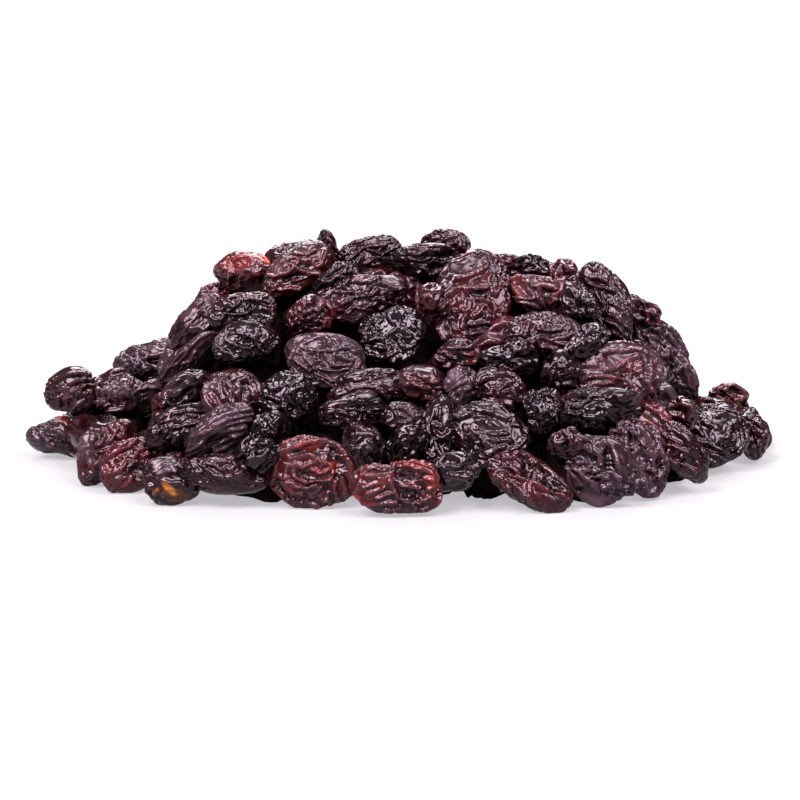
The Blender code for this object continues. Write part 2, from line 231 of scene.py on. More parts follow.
# How far the skin's patterns are drawn out along a raisin, as a share of its lengthwise measure.
LENGTHWISE_GRAIN = 0.8
# The skin: its stiffness against bending, how strongly its length is kept, and how much more
# firmly the flesh holds it against going in than against coming out, and the number of steps, in
# the broad folds and in the fine ones.
BEND = 0.03
PULL = 0.9
BROAD_INWARD = 6.0
FINE_INWARD = 40.0
BROAD_STEPS = 120
FINE_STEPS = 150
# The skin has grown fully after this share of the steps.
RAMP = 0.7
# Points next to a point of the skin's net. Where there are only five, the first is listed again and
# weighs nothing.
NEIGHBOURS = 6
# Added to a length in mm, so that none is 0.
NO_LENGTH = 1e-9
# How the broad folds are rounded before the fine ones start: (times, share of the way).
GROUND_ROUNDING = (3, 0.5)
# How much the crests are sharpened at the end, against a skin that is rounded like this.
SHARPEN = 1.8
SHARPEN_ROUNDING = (2, 0.7)
# Unevenness that the folds start from: (height in mm, least and most waves over a radian), the
# number of waves, the turn that each starts within, and what a raisin's own seed counts from.
BROAD_SEED = (0.15, 5.0, 11.0)
FINE_SEED = (0.05, 9.0, 24.0)
SEED_WAVES = 36
WAVE_TURN = 6.28
SKIN_SEED = 1000

# Flat sides where a raisin was pressed against others as it dried: how many, how far out they lie
# as shares of its size, and how sharp their edges are.
FLAT_SIDES = 7
FLAT_REACH = (0.74, 0.95)
FLAT_SHARPNESS = 12.0
# The skin shrank unevenly: its wrinkles are this much weaker and stronger from place to place.
UNEVEN = 0.45
UNEVEN_COUNTS = (1.5, 4.5)
UNEVEN_LIMITS = (0.2, 1.6)

# Parts of an icosahedron's edge before the last halving, for each group of raisins, and the
# length that parts the large ones of the front from the small ones.
FREQUENCIES = {"front_large": 11, "front_small": 8, "strewn": 7, "inner": 4}
LARGE_LENGTH = 11.7

# Raisins deeper in the heap, which show in the gaps; they are painted near-black as shade.
INNER_SEED = 23
INNER_TRIES = 2600
INNER_DEPTH = 6.5
INNER_GAP_SHARE = 0.72
INNER_LOWEST = 3.5

# Kinds of skin that the strewn raisins are drawn from, with their shares.
STREWN_KINDS = (
    ("jet", 0.34), ("bloom", 0.16), ("plum", 0.26), ("brown", 0.10), ("wine", 0.07), ("red", 0.07),
)
STREWN_FOLDS = (("fine", 0.45), ("long", 0.25), ("broad", 0.30))
KIND_SEED = 5
# Step from one raisin's grain to the next one's, in m.
GRAIN_STEP = 0.037

# How far a spot of another colour reaches past its own edge, and how sharply it ends.
MARK_REACH = 1.3
MARK_SHARPNESS = 2.0
# Spots of another colour: (row of the raisin, across, up, half length, half width, lean in
# degrees, strength) as seen, in mm.
MARKS = (
    (3, -43.8, -5.9, 1.6, 0.55, -45, 1.0),
    (3, -46.4, -6.3, 0.8, 0.3, 35, 0.8),
    (3, -42.6, -7.2, 2.8, 1.5, -8, 0.12),
    (0, -63.9, 7.2, 1.2, 0.6, -20, 0.7),
    (55, -26.1, 38.5, 2.6, 0.9, -30, 0.9),
    (55, -28.6, 39.6, 1.5, 0.6, 20, 0.7),
    (55, -30.9, 37.2, 3.0, 1.5, 15, 0.22),
    (5, -17.4, 2.4, 2.4, 0.9, 4, 0.22),
    (5, -12.6, -1.6, 1.1, 0.9, 30, 0.25),
    (5, -15.6, -2.6, 2.2, 0.9, -10, 0.12),
    (6, 2.0, -1.0, 3.6, 0.9, -8, 0.14),
    (6, 6.0, -4.6, 1.7, 1.2, -60, 0.26),
    (6, -8.6, -8.0, 0.9, 0.9, 0, 0.60),
    (6, -3.0, -4.6, 2.2, 0.8, 35, 0.12),
    (43, 46.4, 19.4, 4.0, 2.2, -30, 0.10),
    (43, 43.4, 17.6, 1.6, 1.8, 0, 0.08),
    (66, 21.8, 32.6, 2.2, 2.4, 0, 0.12),
    (50, 13.6, 19.2, 0.9, 1.5, -20, 0.14),
)

# Colours of the waxy bloom, which also stands in for a painted sheen, and of the spots on the blackest
# raisins and on the others.
BLOOM_AND_SHEEN_COLOUR = (0.062, 0.034, 0.045)
AMBER = (0.30, 0.10, 0.015)
FLAME = (0.30, 0.018, 0.004)
# Kinds of skin: colours (painted shade deep in the folds, on most of it, on warmer patches, on crests
# and lines, partly the skin's own lighter colour and partly a painted highlight), then (roughness,
# share of waxy bloom, share of light that passes through, colour of a spot).
SKINS = {
    "pitch": (
        ((0.0004, 0.0001, 0.0001), (0.0012, 0.0003, 0.0005), (0.006, 0.0008, 0.0010), (0.010, 0.004, 0.005)),
        (0.17, 0.05, 0.0, AMBER),
    ),
    "jet": (
        ((0.0008, 0.0001, 0.0001), (0.0012, 0.0003, 0.0004), (0.014, 0.0014, 0.0020), (0.018, 0.006, 0.008)),
        (0.21, 0.35, 0.0, AMBER),
    ),
    "bloom": (
        ((0.0008, 0.0001, 0.0002), (0.019, 0.0092, 0.0132), (0.030, 0.0110, 0.0150), (0.045, 0.023, 0.030)),
        (0.29, 0.7, 0.0, FLAME),
    ),
    "plum": (
        ((0.0014, 0.0001, 0.0001), (0.0056, 0.0008, 0.0012), (0.034, 0.0030, 0.0040), (0.038, 0.010, 0.013)),
        (0.23, 0.5, 0.0, FLAME),
    ),
    "brown": (
        ((0.0014, 0.0001, 0.0001), (0.0080, 0.0010, 0.0012), (0.040, 0.0040, 0.0034), (0.044, 0.012, 0.012)),
        (0.24, 0.4, 0.0, FLAME),
    ),
    "wine": (
        ((0.0020, 0.0001, 0.0001), (0.0105, 0.0011, 0.0016), (0.050, 0.0034, 0.0040), (0.058, 0.014, 0.017)),
        (0.21, 0.35, 0.0, FLAME),
    ),
    "red": (
        ((0.003, 0.0001, 0.0001), (0.021, 0.0062, 0.0082), (0.046, 0.0052, 0.0056), (0.075, 0.023, 0.026)),
        (0.19, 0.45, 0.2, FLAME),
    ),
}

# Fineness of the skin's patterns, as (scale, detail, distortion) of a noise: patches of a warmer
# colour, bloom with its painted sheen, the winding lines and the breaks in them, the finest lines, and
# uneven gloss.
PATCH_NOISE = (190.0, 3.0, 0.0)
BLOOM_AND_SHEEN_NOISE = (140.0, 3.0, 0.0)
LINE_NOISE = (300.0, 1.0, 0.5)
BREAK_NOISE = (230.0, 1.0, 0.0)
FINE_LINE_NOISE = (560.0, 0.0, 0.5)
GLOSS_NOISE = (420.0, 3.0, 0.0)
# Where each starts and is full, and how far from a line's middle it ends.
CREST_RANGE = (0.01, 0.07)
# Painted shade in the folds: full where the skin lies at the first height against its broad folds, none at
# the second, in mm.
CREASE_SHADE_RANGE = (-0.22, 0.36)
WARM_RANGE = (0.58, 0.72)
BLOOM_AND_SHEEN_RANGE = (0.54, 0.66)
BREAK_RANGE = (0.38, 0.55)
GLOSS_RANGE = (0.35, 1.0)
LINE_HALF_WIDTH = 0.055
FINE_LINE_HALF_WIDTH = 0.09
# How strongly each counts: a raisin's own tone, crests and lines in the colour, where they are partly a
# painted highlight, bloom in the gloss, and the finest lines beside the others in the relief.
TONE_SHARE = 0.22
CREST_SHARE = 0.4
LINE_SHARE = 0.25
BLOOM_GLOSS_SHARE = 0.5
FINE_LINE_SHARE = 0.16
# The roughness on crests and lines is this share of the rest, and it spreads this far down and up.
POLISHED = 0.42
ROUGH_SPREAD = (-0.04, 0.10)
# The skin's gloss, what passes through it, and the depth of its lines in m.
SKIN_IOR = 1.37
SKIN_SHEEN_TINT = (1.0, 0.71, 0.85)
COAT_WEIGHT = 0.1
COAT_ROUGHNESS = 0.12
PASSING_RADIUS = (1.0, 0.22, 0.12)
PASSING_SCALE = 0.0011
LINE_DEPTH = 0.00020
# Inputs and output for colours on a mixing node.
COLOUR_INPUTS = (6, 7)
COLOUR_OUTPUT = 2

# Painted shade between the raisins: the near-black, dull colour of the core and the inner raisins.
PAINTED_SHADE_COLOUR = (0.004, 0.0015, 0.0015)
DARK_ROUGHNESS = 0.9
DARK_SHINE = 0.05

# The table: half its width in m, its colour, and how it glows.
TABLE_REACH = 8.0
TABLE_COLOUR = (0.145, 0.143, 0.145)
TABLE_ROUGHNESS = 0.8
TABLE_GLOW = (0.98, 0.95, 1.0)
TABLE_GLOW_STRENGTH = 0.48

# Three wide soft lights: (name, heading and height in degrees, width in degrees, strength, colour).
SUNS = (
    ("key_softbox", -45, 50, 38, 7.9, (1.0, 0.97, 1.0)),
    ("fill_softbox", 50, 52, 36, 5.0, (1.0, 0.97, 1.0)),
    ("back_softbox", 178, 48, 40, 4.4, (1.0, 0.98, 1.0)),
)
# The room around: (height, colour) near the ground and overhead.
ROOM_LOW = (0.05, (0.022, 0.021, 0.025))
ROOM_HIGH = (0.95, (0.46, 0.44, 0.478))

# Width of the view at the middle of the heap and of the sensor in mm, and the nearest view in m.
VIEW_WIDTH = 152.0
SENSOR_WIDTH = 36.0
NEAR_LIMIT = 0.01

# All the folds and hollows are this much higher or deeper than listed, and the folds this much
# narrower.
FOLD_RISE = 1.3
FOLD_WIDTH = 0.85
# They fade where the skin turns from the viewer: how far it faces where they start, and how much
# further until they are full.
FOLD_FADE = (0.28, 0.4)

# The main folds of the raisins that show best, each (row of the raisin, height, half width, lines),
# where a line is across, up, across, up and so on, as seen, in mm. The lines of row 45 and the last
# five of row 44 only follow the way that the folds run there.
MAIN_FOLDS = (
    (0, 0.35, 0.4, (
        (-69.6, 6.9, -67.4, 7.2, -65.8, 6.6, -64.2, 6.6),
        (-66.6, 5.4, -65.4, 5.2, -64.0, 4.4, -62.0, 4.5, -60.4, 4.6),
        (-66.8, 8.2, -64.0, 8.0, -62.2, 7.4, -60.0, 7.6, -58.0, 7.4),
        (-68.6, 4.8, -67.0, 2.8, -64.4, 1.6, -61.6, 1.2),
    )),
    (1, 0.45, 0.42, (
        (-60.4, 5.2, -59.4, 6.4, -57.6, 7.3, -55.0, 7.5, -53.0, 7.0, -52.2, 6.2),
        (-58.6, 7.0, -56.8, 6.6, -55.4, 6.0, -54.2, 4.6, -53.0, 3.6),
        (-60.8, 4.0, -60.2, 2.0, -60.4, 0.0, -60.8, -2.0), (-58.8, 5.4, -58.8, 3.0, -58.6, 1.0, -58.0, 0.4),
        (-59.8, 0.8, -59.0, -1.4, -58.4, -2.4, -59.4, -3.6),
        (-56.8, 5.6, -56.4, 4.0, -57.2, 2.6, -57.8, 2.4), (-55.4, 3.0, -54.4, 4.4, -53.8, 5.6),
        (-57.6, 1.0, -56.0, 1.4, -54.8, 2.4, -53.2, 2.6),
    )),
    (2, 0.45, 0.42, (
        (-57.2, -1.0, -55.4, 0.4, -53.4, 1.5, -51.8, 2.2, -50.4, 3.4, -49.0, 4.1, -47.8, 3.9),
        (-47.8, 3.9, -46.4, 2.6, -45.2, 1.4, -44.8, 0.6),
        (-57.0, -1.6, -56.2, -3.0, -56.0, -4.6, -55.2, -6.0), (-52.6, -1.2, -53.6, -2.6),
        (-50.6, 0.2, -50.0, 1.4, -48.6, 1.6, -48.2, 0.6, -49.2, 0.2), (-51.8, -4.6, -53.0, -5.4),
    )),
    (3, 0.3, 0.4, (
        (-48.2, -1.4, -46.6, 0.0, -44.4, 0.4, -42.6, 0.1),
        (-42.2, -1.2, -41.2, -2.8, -40.2, -4.4, -39.4, -5.8), (-39.6, -6.4, -38.4, -6.2, -37.6, -5.6),
        (-48.6, -3.6, -48.2, -5.0, -47.6, -5.6), (-44.8, -4.6, -43.6, -5.0, -42.0, -4.8, -40.6, -5.8),
    )),
    (4, 0.38, 0.38, (
        (-40.0, -0.4, -38.6, 0.1, -36.8, 0.2, -35.0, 0.1, -33.2, -0.5, -32.2, -0.5),
        (-39.8, -0.6, -39.0, -2.0, -38.2, -3.2, -36.8, -4.2, -35.8, -5.0),
        (-38.0, -1.2, -36.8, -2.2, -35.4, -3.0, -34.6, -3.2), (-37.0, -1.2, -35.4, -1.4, -34.0, -2.2),
        (-34.4, -0.9, -33.0, -0.8), (-34.8, -3.0, -33.4, -3.6, -32.2, -3.6),
        (-33.0, -1.8, -32.0, -2.6, -32.0, -1.8, -31.0, -1.6), (-31.4, -0.6, -30.0, -0.9),
        (-31.0, -3.2, -30.2, -2.6),
    )),
    (5, 0.36, 0.45, (
        (-23.9, -3.0, -23.5, 0.3, -22.3, 1.6, -20.0, 2.2, -18.2, 2.9, -15.8, 3.4,
         -13.5, 3.4, -11.5, 2.4, -10.2, 0.6, -9.2, -1.2, -9.1, -3.4),
        (-21.0, 0.0, -19.0, 0.7, -17.0, 1.0, -16.4, 0.1),
        (-21.6, -1.2, -21.9, -3.0, -21.4, -5.0, -20.2, -6.3, -18.9, -6.5),
        (-21.2, -1.3, -19.6, -1.0, -18.8, -1.6, -17.2, -0.9, -16.0, -0.3),
        (-20.4, -2.0, -20.0, -3.4, -18.4, -4.4, -16.4, -4.1, -14.5, -3.9, -13.0,
         -3.8, -12.6, -2.5, -13.1, -1.3, -14.4, -0.7),
        (-21.0, -4.3, -20.0, -5.2, -17.8, -5.4, -16.0, -4.9),
        (-16.6, -2.0, -15.6, -2.6, -14.2, -2.4, -13.6, -1.8),
        (-24.0, -5.4, -22.9, -6.2, -22.2, -7.4, -21.4, -7.8), (-18.0, -7.9, -16.8, -8.3, -15.9, -8.7),
        (-14.8, -7.7, -13.8, -7.3, -13.2, -8.4), (-12.3, -4.2, -12.5, -5.6, -12.1, -7.2),
        (-11.5, -2.4, -11.0, -3.8, -10.4, -5.6, -10.2, -6.8),
    )),
    (6, 0.36, 0.4, (
        (-4.2, -3.9, -2.6, -3.5, -1.6, -2.6, -1.3, -1.3),
        (-2.2, -4.1, -1.6, -5.2, -1.3, -6.5, -0.7, -7.3, 0.5, -8.1, 1.8, -8.7, 2.9, -9.4),
        (-6.8, -3.2, -5.0, -3.3, -3.0, -2.9, -1.7, -2.4), (-8.5, -6.0, -7.7, -4.3, -7.4, -2.8),
        (-7.5, -3.9, -6.9, -5.6, -5.2, -4.9, -3.6, -4.4), (-6.5, -6.9, -4.8, -6.3, -3.4, -5.4),
        (-7.6, -8.6, -5.6, -8.8, -3.0, -8.6, -0.9, -8.3), (-4.4, -7.8, -3.0, -7.0, -1.6, -6.7),
        (0.3, -5.2, 1.8, -5.2, 3.2, -5.6),
        (0.9, -1.2, 2.9, -1.6, 5.0, -2.3, 6.7, -3.2, 7.6, -4.8, 7.9, -6.6, 7.3, -8.4),
        (5.9, -3.4, 6.1, -5.0, 5.4, -6.0), (2.9, -8.6, 4.4, -8.1, 5.6, -7.3), (4.1, -9.8, 5.1, -9.4),
        (-0.6, -9.6, -1.5, -9.9, -3.0, -9.8),
    )),
    (8, 0.45, 0.6, (
        (20.8, -3.4, 23.2, -3.7, 25.2, -4.5, 27.2, -5.6, 29.0, -6.5, 29.6, -6.3, 31.0, -7.4, 32.2, -8.2),
        (18.2, -2.8, 17.6, -4.8, 17.4, -6.8), (20.2, -4.2, 19.4, -5.6, 18.4, -7.2),
        (20.2, -4.2, 20.8, -6.0, 21.4, -7.6), (20.8, -4.6, 22.4, -5.8, 24.4, -7.6),
        (24.4, -4.2, 24.2, -6.4, 24.6, -8.4), (21.0, -1.6, 22.0, -2.4, 22.4, -3.2),
        (24.0, 1.4, 24.6, 0.4, 25.0, -0.8), (24.8, -3.8, 25.4, -2.6, 26.0, -1.8, 26.7, -2.6),
        (21.4, 0.4, 22.6, -0.6),
    )),
    (9, 0.5, 0.45, (
        (28.2, 1.8, 29.2, 0.2, 30.4, -2.0, 31.4, -4.0, 32.0, -6.4, 32.6, -8.4),
        (29.0, 0.6, 30.2, -0.8, 31.6, -2.2, 33.0, -3.6, 34.4, -5.2),
        (30.8, -0.4, 32.4, -1.2, 34.0, -2.6, 35.6, -4.4, 37.4, -6.2, 38.2, -7.4), (32.6, -3.2, 33.4, -5.4),
        (33.9, -0.8, 35.0, -0.9, 35.8, -1.8), (35.4, -2.6, 36.8, -2.8, 38.2, -2.6),
        (37.0, 1.6, 38.0, 0.4, 38.4, -1.4), (36.2, -3.9, 38.4, -3.6, 40.0, -4.4),
        (37.0, 2.6, 39.0, 3.0, 40.6, 2.2, 41.4, 0.4, 42.0, -2.0), (40.6, -3.2, 41.8, -4.4),
        (38.6, -7.6, 39.0, -6.2, 40.4, -5.6), (31.4, 4.6, 32.2, 3.0, 33.2, 2.0, 35.6, 2.0),
        (29.0, 2.6, 30.6, 2.4, 32.0, 1.6),
    )),
    (10, 0.5, 0.45, (
        (44.2, 7.2, 46.6, 6.2, 48.4, 4.6, 49.6, 2.6, 50.6, 0.4, 51.0, -2.0, 49.8, -4.0),
        (45.6, 6.0, 47.4, 4.4, 48.4, 2.8, 49.3, 0.8, 49.8, -1.4),
        (43.6, 5.2, 43.2, 3.6, 43.6, 2.0, 44.6, 1.8, 44.9, 3.2, 44.6, 4.6, 43.8, 5.4),
        (46.0, 5.0, 46.2, 3.4, 45.4, 1.6, 44.4, 0.2, 43.2, -1.0),
        (46.6, 3.4, 47.6, 1.8, 48.8, 0.2, 49.6, -1.6), (45.0, -1.2, 45.0, -2.6, 45.9, -3.6),
        (46.2, -2.0, 47.6, -2.2, 48.8, -2.6), (42.6, -2.8, 43.6, -3.6, 45.4, -4.6, 47.0, -5.0),
        (39.6, 3.6, 40.4, 4.9, 41.4, 5.0),
    )),
    (11, 0.4, 0.4, (
        (50.4, 2.4, 52.0, 2.2, 53.6, 1.4, 54.6, 1.0), (50.0, 4.6, 51.6, 3.4, 53.0, 2.6),
        (52.6, -0.8, 54.4, -1.6, 56.0, -2.8), (50.6, 0.8, 51.4, -0.6, 52.6, -1.0, 53.4, 0.2),
    )),
    (12, 0.42, 0.42, (
        (54.4, 10.0, 57.0, 9.9, 60.0, 9.8, 62.6, 9.4, 65.2, 8.6), (57.4, 8.8, 59.0, 8.2, 60.4, 8.4),
        (58.0, 7.2, 59.2, 6.6, 60.6, 6.0), (62.6, 6.0, 63.4, 4.8, 63.6, 3.6),
        (63.8, 7.2, 65.0, 5.4, 65.2, 3.0, 64.4, 0.8), (56.0, 6.0, 57.2, 5.4, 57.6, 4.4),
        (56.8, 3.2, 58.6, 3.0, 60.4, 2.2, 62.4, 1.6), (58.0, 1.0, 59.8, 0.8, 61.2, 0.2),
    )),
    (14, 0.4, 0.36, (
        (-58.6, 13.4, -59.0, 11.6, -58.4, 10.2, -58.2, 8.8), (-57.6, 13.2, -57.4, 11.6, -57.2, 9.6),
        (-56.4, 13.0, -56.4, 11.2, -56.0, 9.4), (-55.2, 12.8, -55.2, 11.0),
        (-54.4, 13.4, -54.2, 11.6, -53.8, 10.0),
        (-55.0, 16.2, -53.4, 16.8, -51.6, 17.2, -49.4, 17.5, -47.8, 17.2, -46.6, 16.2),
        (-51.0, 13.8, -50.8, 15.0, -49.8, 16.4, -48.6, 16.8), (-56.8, 14.0, -55.8, 14.2, -55.2, 14.8),
        (-55.6, 8.6, -54.2, 8.6, -52.8, 8.8), (-52.2, 13.4, -51.6, 12.6, -51.4, 11.4),
    )),
    (15, 0.42, 0.4, (
        (-65.4, 15.6, -63.0, 16.4, -60.6, 16.6, -58.4, 16.0),
        (-62.6, 14.2, -61.0, 14.9, -59.2, 15.2, -57.6, 14.8), (-60.2, 13.6, -59.0, 14.1, -58.2, 13.9),
        (-64.2, 13.6, -63.2, 13.4), (-61.8, 9.4, -61.2, 10.2, -60.0, 10.6),
        (-64.8, 11.8, -64.6, 10.0, -65.0, 9.6),
    )),
    (16, 0.38, 0.36, (
        (-50.6, 12.4, -49.6, 13.3, -47.8, 13.7, -46.0, 13.5, -44.4, 12.9),
        (-50.4, 12.2, -50.0, 11.0, -50.2, 9.8), (-48.9, 12.1, -48.0, 12.3),
        (-49.0, 10.6, -48.4, 11.4, -47.8, 11.2, -48.2, 10.4),
        (-46.6, 10.5, -45.4, 10.5, -44.6, 11.2, -44.6, 12.4),
    )),
    (17, 0.4, 0.38, (
        (-45.8, 8.0, -44.4, 9.6, -42.6, 10.6, -40.2, 10.9, -38.4, 10.6, -36.8, 10.4),
        (-45.6, 7.4, -44.0, 7.6, -42.0, 7.7, -40.6, 8.8, -39.0, 8.4),
        (-49.6, 5.4, -48.2, 5.2, -46.6, 5.4, -47.0, 6.4, -48.6, 6.2),
        (-46.0, 5.6, -45.2, 6.2, -44.6, 5.4, -45.0, 4.4), (-42.6, 4.6, -41.0, 5.4, -39.8, 5.6),
        (-43.0, 3.0, -42.4, 4.4, -41.0, 6.0), (-43.6, 6.2, -42.0, 6.4, -40.0, 6.8, -38.0, 7.2),
        (-43.4, 9.2, -41.6, 9.4, -39.8, 9.4, -38.0, 9.2),
    )),
    (18, 0.4, 0.38, (
        (-40.0, 4.2, -37.0, 6.4, -34.0, 8.2, -31.0, 9.0, -28.2, 9.5, -26.6, 8.8),
        (-36.0, 6.2, -33.4, 7.6, -30.6, 8.2, -28.6, 8.4), (-33.4, 6.6, -31.0, 7.2, -28.8, 7.4),
        (-26.2, 8.6, -26.8, 7.0, -27.2, 5.8), (-33.0, 5.6, -31.2, 5.8, -29.0, 6.2),
        (-32.4, 4.2, -30.4, 5.2, -28.6, 5.4), (-42.6, 2.0, -41.2, 4.0, -39.8, 5.0, -38.0, 4.8, -36.6, 5.6),
        (-42.0, 1.2, -40.0, 1.6, -38.4, 3.0), (-35.6, 1.6, -33.6, 2.2, -31.6, 3.4),
    )),
    (20, 0.38, 0.34, (
        (-25.0, 7.6, -24.4, 6.6, -23.6, 5.6, -24.0, 4.8), (-26.2, 4.4, -25.8, 5.6),
    )),
    (21, 0.4, 0.36, (
        (-21.4, 12.6, -21.0, 11.4, -20.4, 10.6, -19.8, 10.1), (-20.0, 13.0, -19.2, 13.8, -18.2, 13.6),
        (-24.6, 11.8, -23.8, 11.4, -22.8, 11.0), (-24.9, 10.0, -24.2, 9.4, -23.6, 8.8),
        (-18.6, 12.0, -18.6, 10.6, -17.8, 9.4), (-22.0, 7.4, -21.0, 7.5, -20.2, 7.8, -19.8, 8.3),
        (-21.2, 6.9, -19.8, 7.0, -19.0, 7.2), (-21.8, 10.0, -21.6, 8.6, -20.6, 7.9),
        (-25.0, 14.0, -24.2, 13.2, -23.2, 13.6),
    )),
    (22, 0.38, 0.34, (
        (-10.0, 4.8, -8.4, 4.7, -6.6, 4.8, -5.0, 4.4), (-8.0, 2.2, -7.6, 0.8, -7.0, -0.6),
        (-9.2, 1.8, -8.4, 2.2), (-5.8, 3.6, -4.8, 2.6, -4.2, 1.4), (-3.8, 4.8, -3.8, 3.0),
        (-6.4, 2.4, -5.4, 1.4), (-8.2, 3.4, -7.4, 4.2),
    )),
    (23, 0.4, 0.34, (
        (-13.8, 8.5, -12.2, 8.7, -10.6, 8.4, -9.4, 8.0, -8.4, 8.3),
        (-13.8, 7.4, -12.4, 6.7, -11.2, 6.5, -11.0, 7.2), (-10.2, 7.0, -9.2, 6.5), (-12.0, 7.8, -10.8, 7.6),
        (-15.6, 9.6, -14.6, 9.4), (-6.6, 7.2, -5.8, 6.5, -4.8, 6.8, -5.2, 8.0), (-6.0, 8.6, -5.2, 8.4),
        (-16.0, 6.0, -14.8, 6.6, -14.4, 7.8), (-7.0, 9.0, -7.4, 8.0, -7.8, 7.0),
    )),
    (25, 0.36, 0.34, (
        (-1.4, 8.6, -1.0, 7.6, -0.6, 6.6, 0.6, 6.3, 1.2, 7.0), (-0.4, 9.3, 0.8, 9.0, 1.4, 8.2),
        (-0.2, 8.0, 0.6, 7.6), (2.0, 8.4, 2.2, 7.2), (0.4, 4.8, 1.6, 4.6, 2.2, 4.9),
    )),
    (26, 0.42, 0.38, (
        (3.9, 9.0, 3.8, 6.6, 4.0, 4.2, 4.8, 2.2, 6.0, 0.8), (5.2, 11.6, 5.1, 9.4, 5.2, 7.2, 5.6, 5.0),
        (5.9, 7.2, 6.4, 8.8, 6.7, 10.0),
        (8.0, 6.2, 6.0, 6.9, 6.6, 5.4, 7.6, 4.4, 8.0, 4.0, 8.8, 4.9, 9.4, 5.6), (7.6, 9.4, 7.6, 7.8),
        (8.8, 9.6, 9.0, 7.6, 10.2, 5.8, 10.8, 4.4), (6.6, 3.6, 7.2, 2.0, 8.0, 0.8), (9.0, 2.4, 8.8, 0.6),
    )),
    (27, 0.42, 0.38, (
        (9.6, 8.4, 11.4, 7.6, 13.0, 8.2, 14.4, 9.0),
        (10.0, 9.8, 12.0, 9.5, 14.4, 9.3, 16.6, 8.8, 19.0, 7.9, 20.8, 7.2),
        (23.0, 7.6, 23.8, 6.4, 24.1, 5.0, 23.6, 3.6, 22.6, 2.4),
        (15.2, 7.2, 16.6, 7.6, 18.0, 6.8, 18.8, 6.0), (16.4, 7.0, 17.4, 6.2, 18.6, 6.6),
        (14.6, 6.0, 14.8, 5.0, 15.8, 4.4, 16.2, 2.8), (17.0, 4.7, 18.6, 4.8, 20.2, 4.8),
        (16.8, 4.0, 18.2, 3.4, 20.0, 3.6, 21.2, 3.4), (18.4, 0.4, 19.8, 1.3, 21.0, 1.6, 22.4, 2.2),
        (17.0, 0.8, 18.4, 1.8, 20.0, 2.4), (10.6, 6.4, 11.2, 5.4, 12.0, 4.4, 12.2, 2.2, 12.0, 0.8),
        (12.8, 6.0, 12.6, 4.0, 12.8, 2.0, 12.6, 0.2), (14.8, 2.0, 14.2, 0.6, 15.2, -0.2, 16.6, -1.0),
        (21.2, 6.4, 23.0, 5.9),
    )),
    (30, 0.42, 0.4, (
        (31.8, 11.6, 33.4, 11.9, 35.0, 12.1), (32.8, 9.6, 34.0, 9.4, 35.0, 10.2, 35.8, 11.0),
        (32.0, 8.4, 33.4, 8.1, 34.2, 8.3), (35.0, 7.7, 37.0, 7.8, 38.4, 8.4, 39.4, 8.0, 40.4, 7.0),
        (42.0, 8.2, 43.4, 8.8, 45.4, 9.4), (34.6, 6.0, 36.6, 6.0),
    )),
    (33, 0.4, 0.4, (
        (-48.8, 19.2, -47.8, 19.8, -46.0, 20.1, -44.2, 20.1, -42.6, 19.8),
        (-52.2, 21.2, -50.6, 21.0, -49.0, 20.4), (-50.0, 19.6, -49.8, 18.2, -50.4, 17.6),
        (-46.4, 17.4, -45.8, 18.0, -44.6, 17.9, -44.2, 17.2, -45.4, 17.0),
        (-53.2, 18.8, -52.4, 19.4, -51.4, 19.2),
    )),
    (35, 0.42, 0.38, (
        (-37.8, 15.6, -36.4, 16.0, -34.6, 16.3, -32.0, 16.6, -30.0, 15.8, -28.4, 14.2, -27.6, 12.0),
        (-38.0, 15.0, -38.0, 13.2, -37.4, 11.4, -36.4, 10.0, -35.8, 8.6),
        (-37.0, 12.8, -35.8, 11.2, -34.6, 10.0, -33.8, 8.2),
        (-36.6, 13.6, -35.6, 13.2, -35.2, 14.0, -35.6, 14.4),
        (-35.4, 16.0, -34.4, 14.0, -33.0, 12.2, -32.0, 10.4, -31.4, 9.4),
        (-34.4, 15.0, -32.8, 13.6, -31.6, 12.0), (-31.2, 14.0, -31.4, 12.2, -30.6, 10.8, -30.8, 9.2),
        (-32.0, 14.2, -30.8, 15.2, -30.2, 15.4), (-29.4, 13.6, -29.4, 12.0, -29.6, 10.2),
    )),
    (36, 0.4, 0.4, (
        (-45.6, 15.0, -44.0, 17.2, -42.0, 19.6, -40.4, 20.4, -38.6, 22.2, -36.6, 23.2, -34.0, 23.4),
        (-44.6, 16.8, -42.8, 17.6, -41.4, 19.0, -40.0, 21.0), (-41.8, 17.6, -40.0, 17.8, -39.4, 19.4),
        (-44.6, 14.4, -42.0, 14.6, -39.0, 15.2, -37.4, 15.0),
    )),
    (37, 0.4, 0.36, (
        (-19.8, 20.2, -19.2, 21.4, -17.8, 22.4, -16.0, 23.2, -14.2, 23.4, -13.4, 21.8, -12.6, 20.7),
        (-19.0, 21.8, -18.2, 20.9, -16.4, 20.7), (-19.6, 20.0, -17.8, 20.0, -16.2, 20.6, -13.0, 20.7),
        (-21.4, 17.0, -21.0, 18.6, -20.4, 20.4), (-20.8, 16.6, -19.4, 15.8, -17.4, 15.2),
        (-18.4, 19.4, -17.2, 18.0, -16.2, 16.2, -15.0, 15.4, -13.2, 14.6,
         -11.4, 14.8, -9.4, 16.0, -8.4, 17.2, -8.0, 18.4),
        (-19.8, 18.6, -18.6, 17.6, -17.4, 16.6), (-15.8, 20.6, -15.8, 19.2, -15.0, 17.8),
        (-14.4, 20.2, -13.8, 18.8, -13.0, 17.8, -12.8, 19.2, -12.6, 20.6),
        (-15.4, 17.0, -13.6, 16.6, -12.0, 16.6, -10.2, 17.2), (-13.0, 17.9, -11.4, 17.8, -9.8, 17.8),
        (-11.8, 19.8, -10.4, 18.8, -9.2, 18.6), (-11.6, 21.2, -10.0, 21.0, -8.8, 20.2),
        (-15.0, 15.0, -14.0, 14.2, -12.2, 13.4),
    )),
    (38, 0.4, 0.36, (
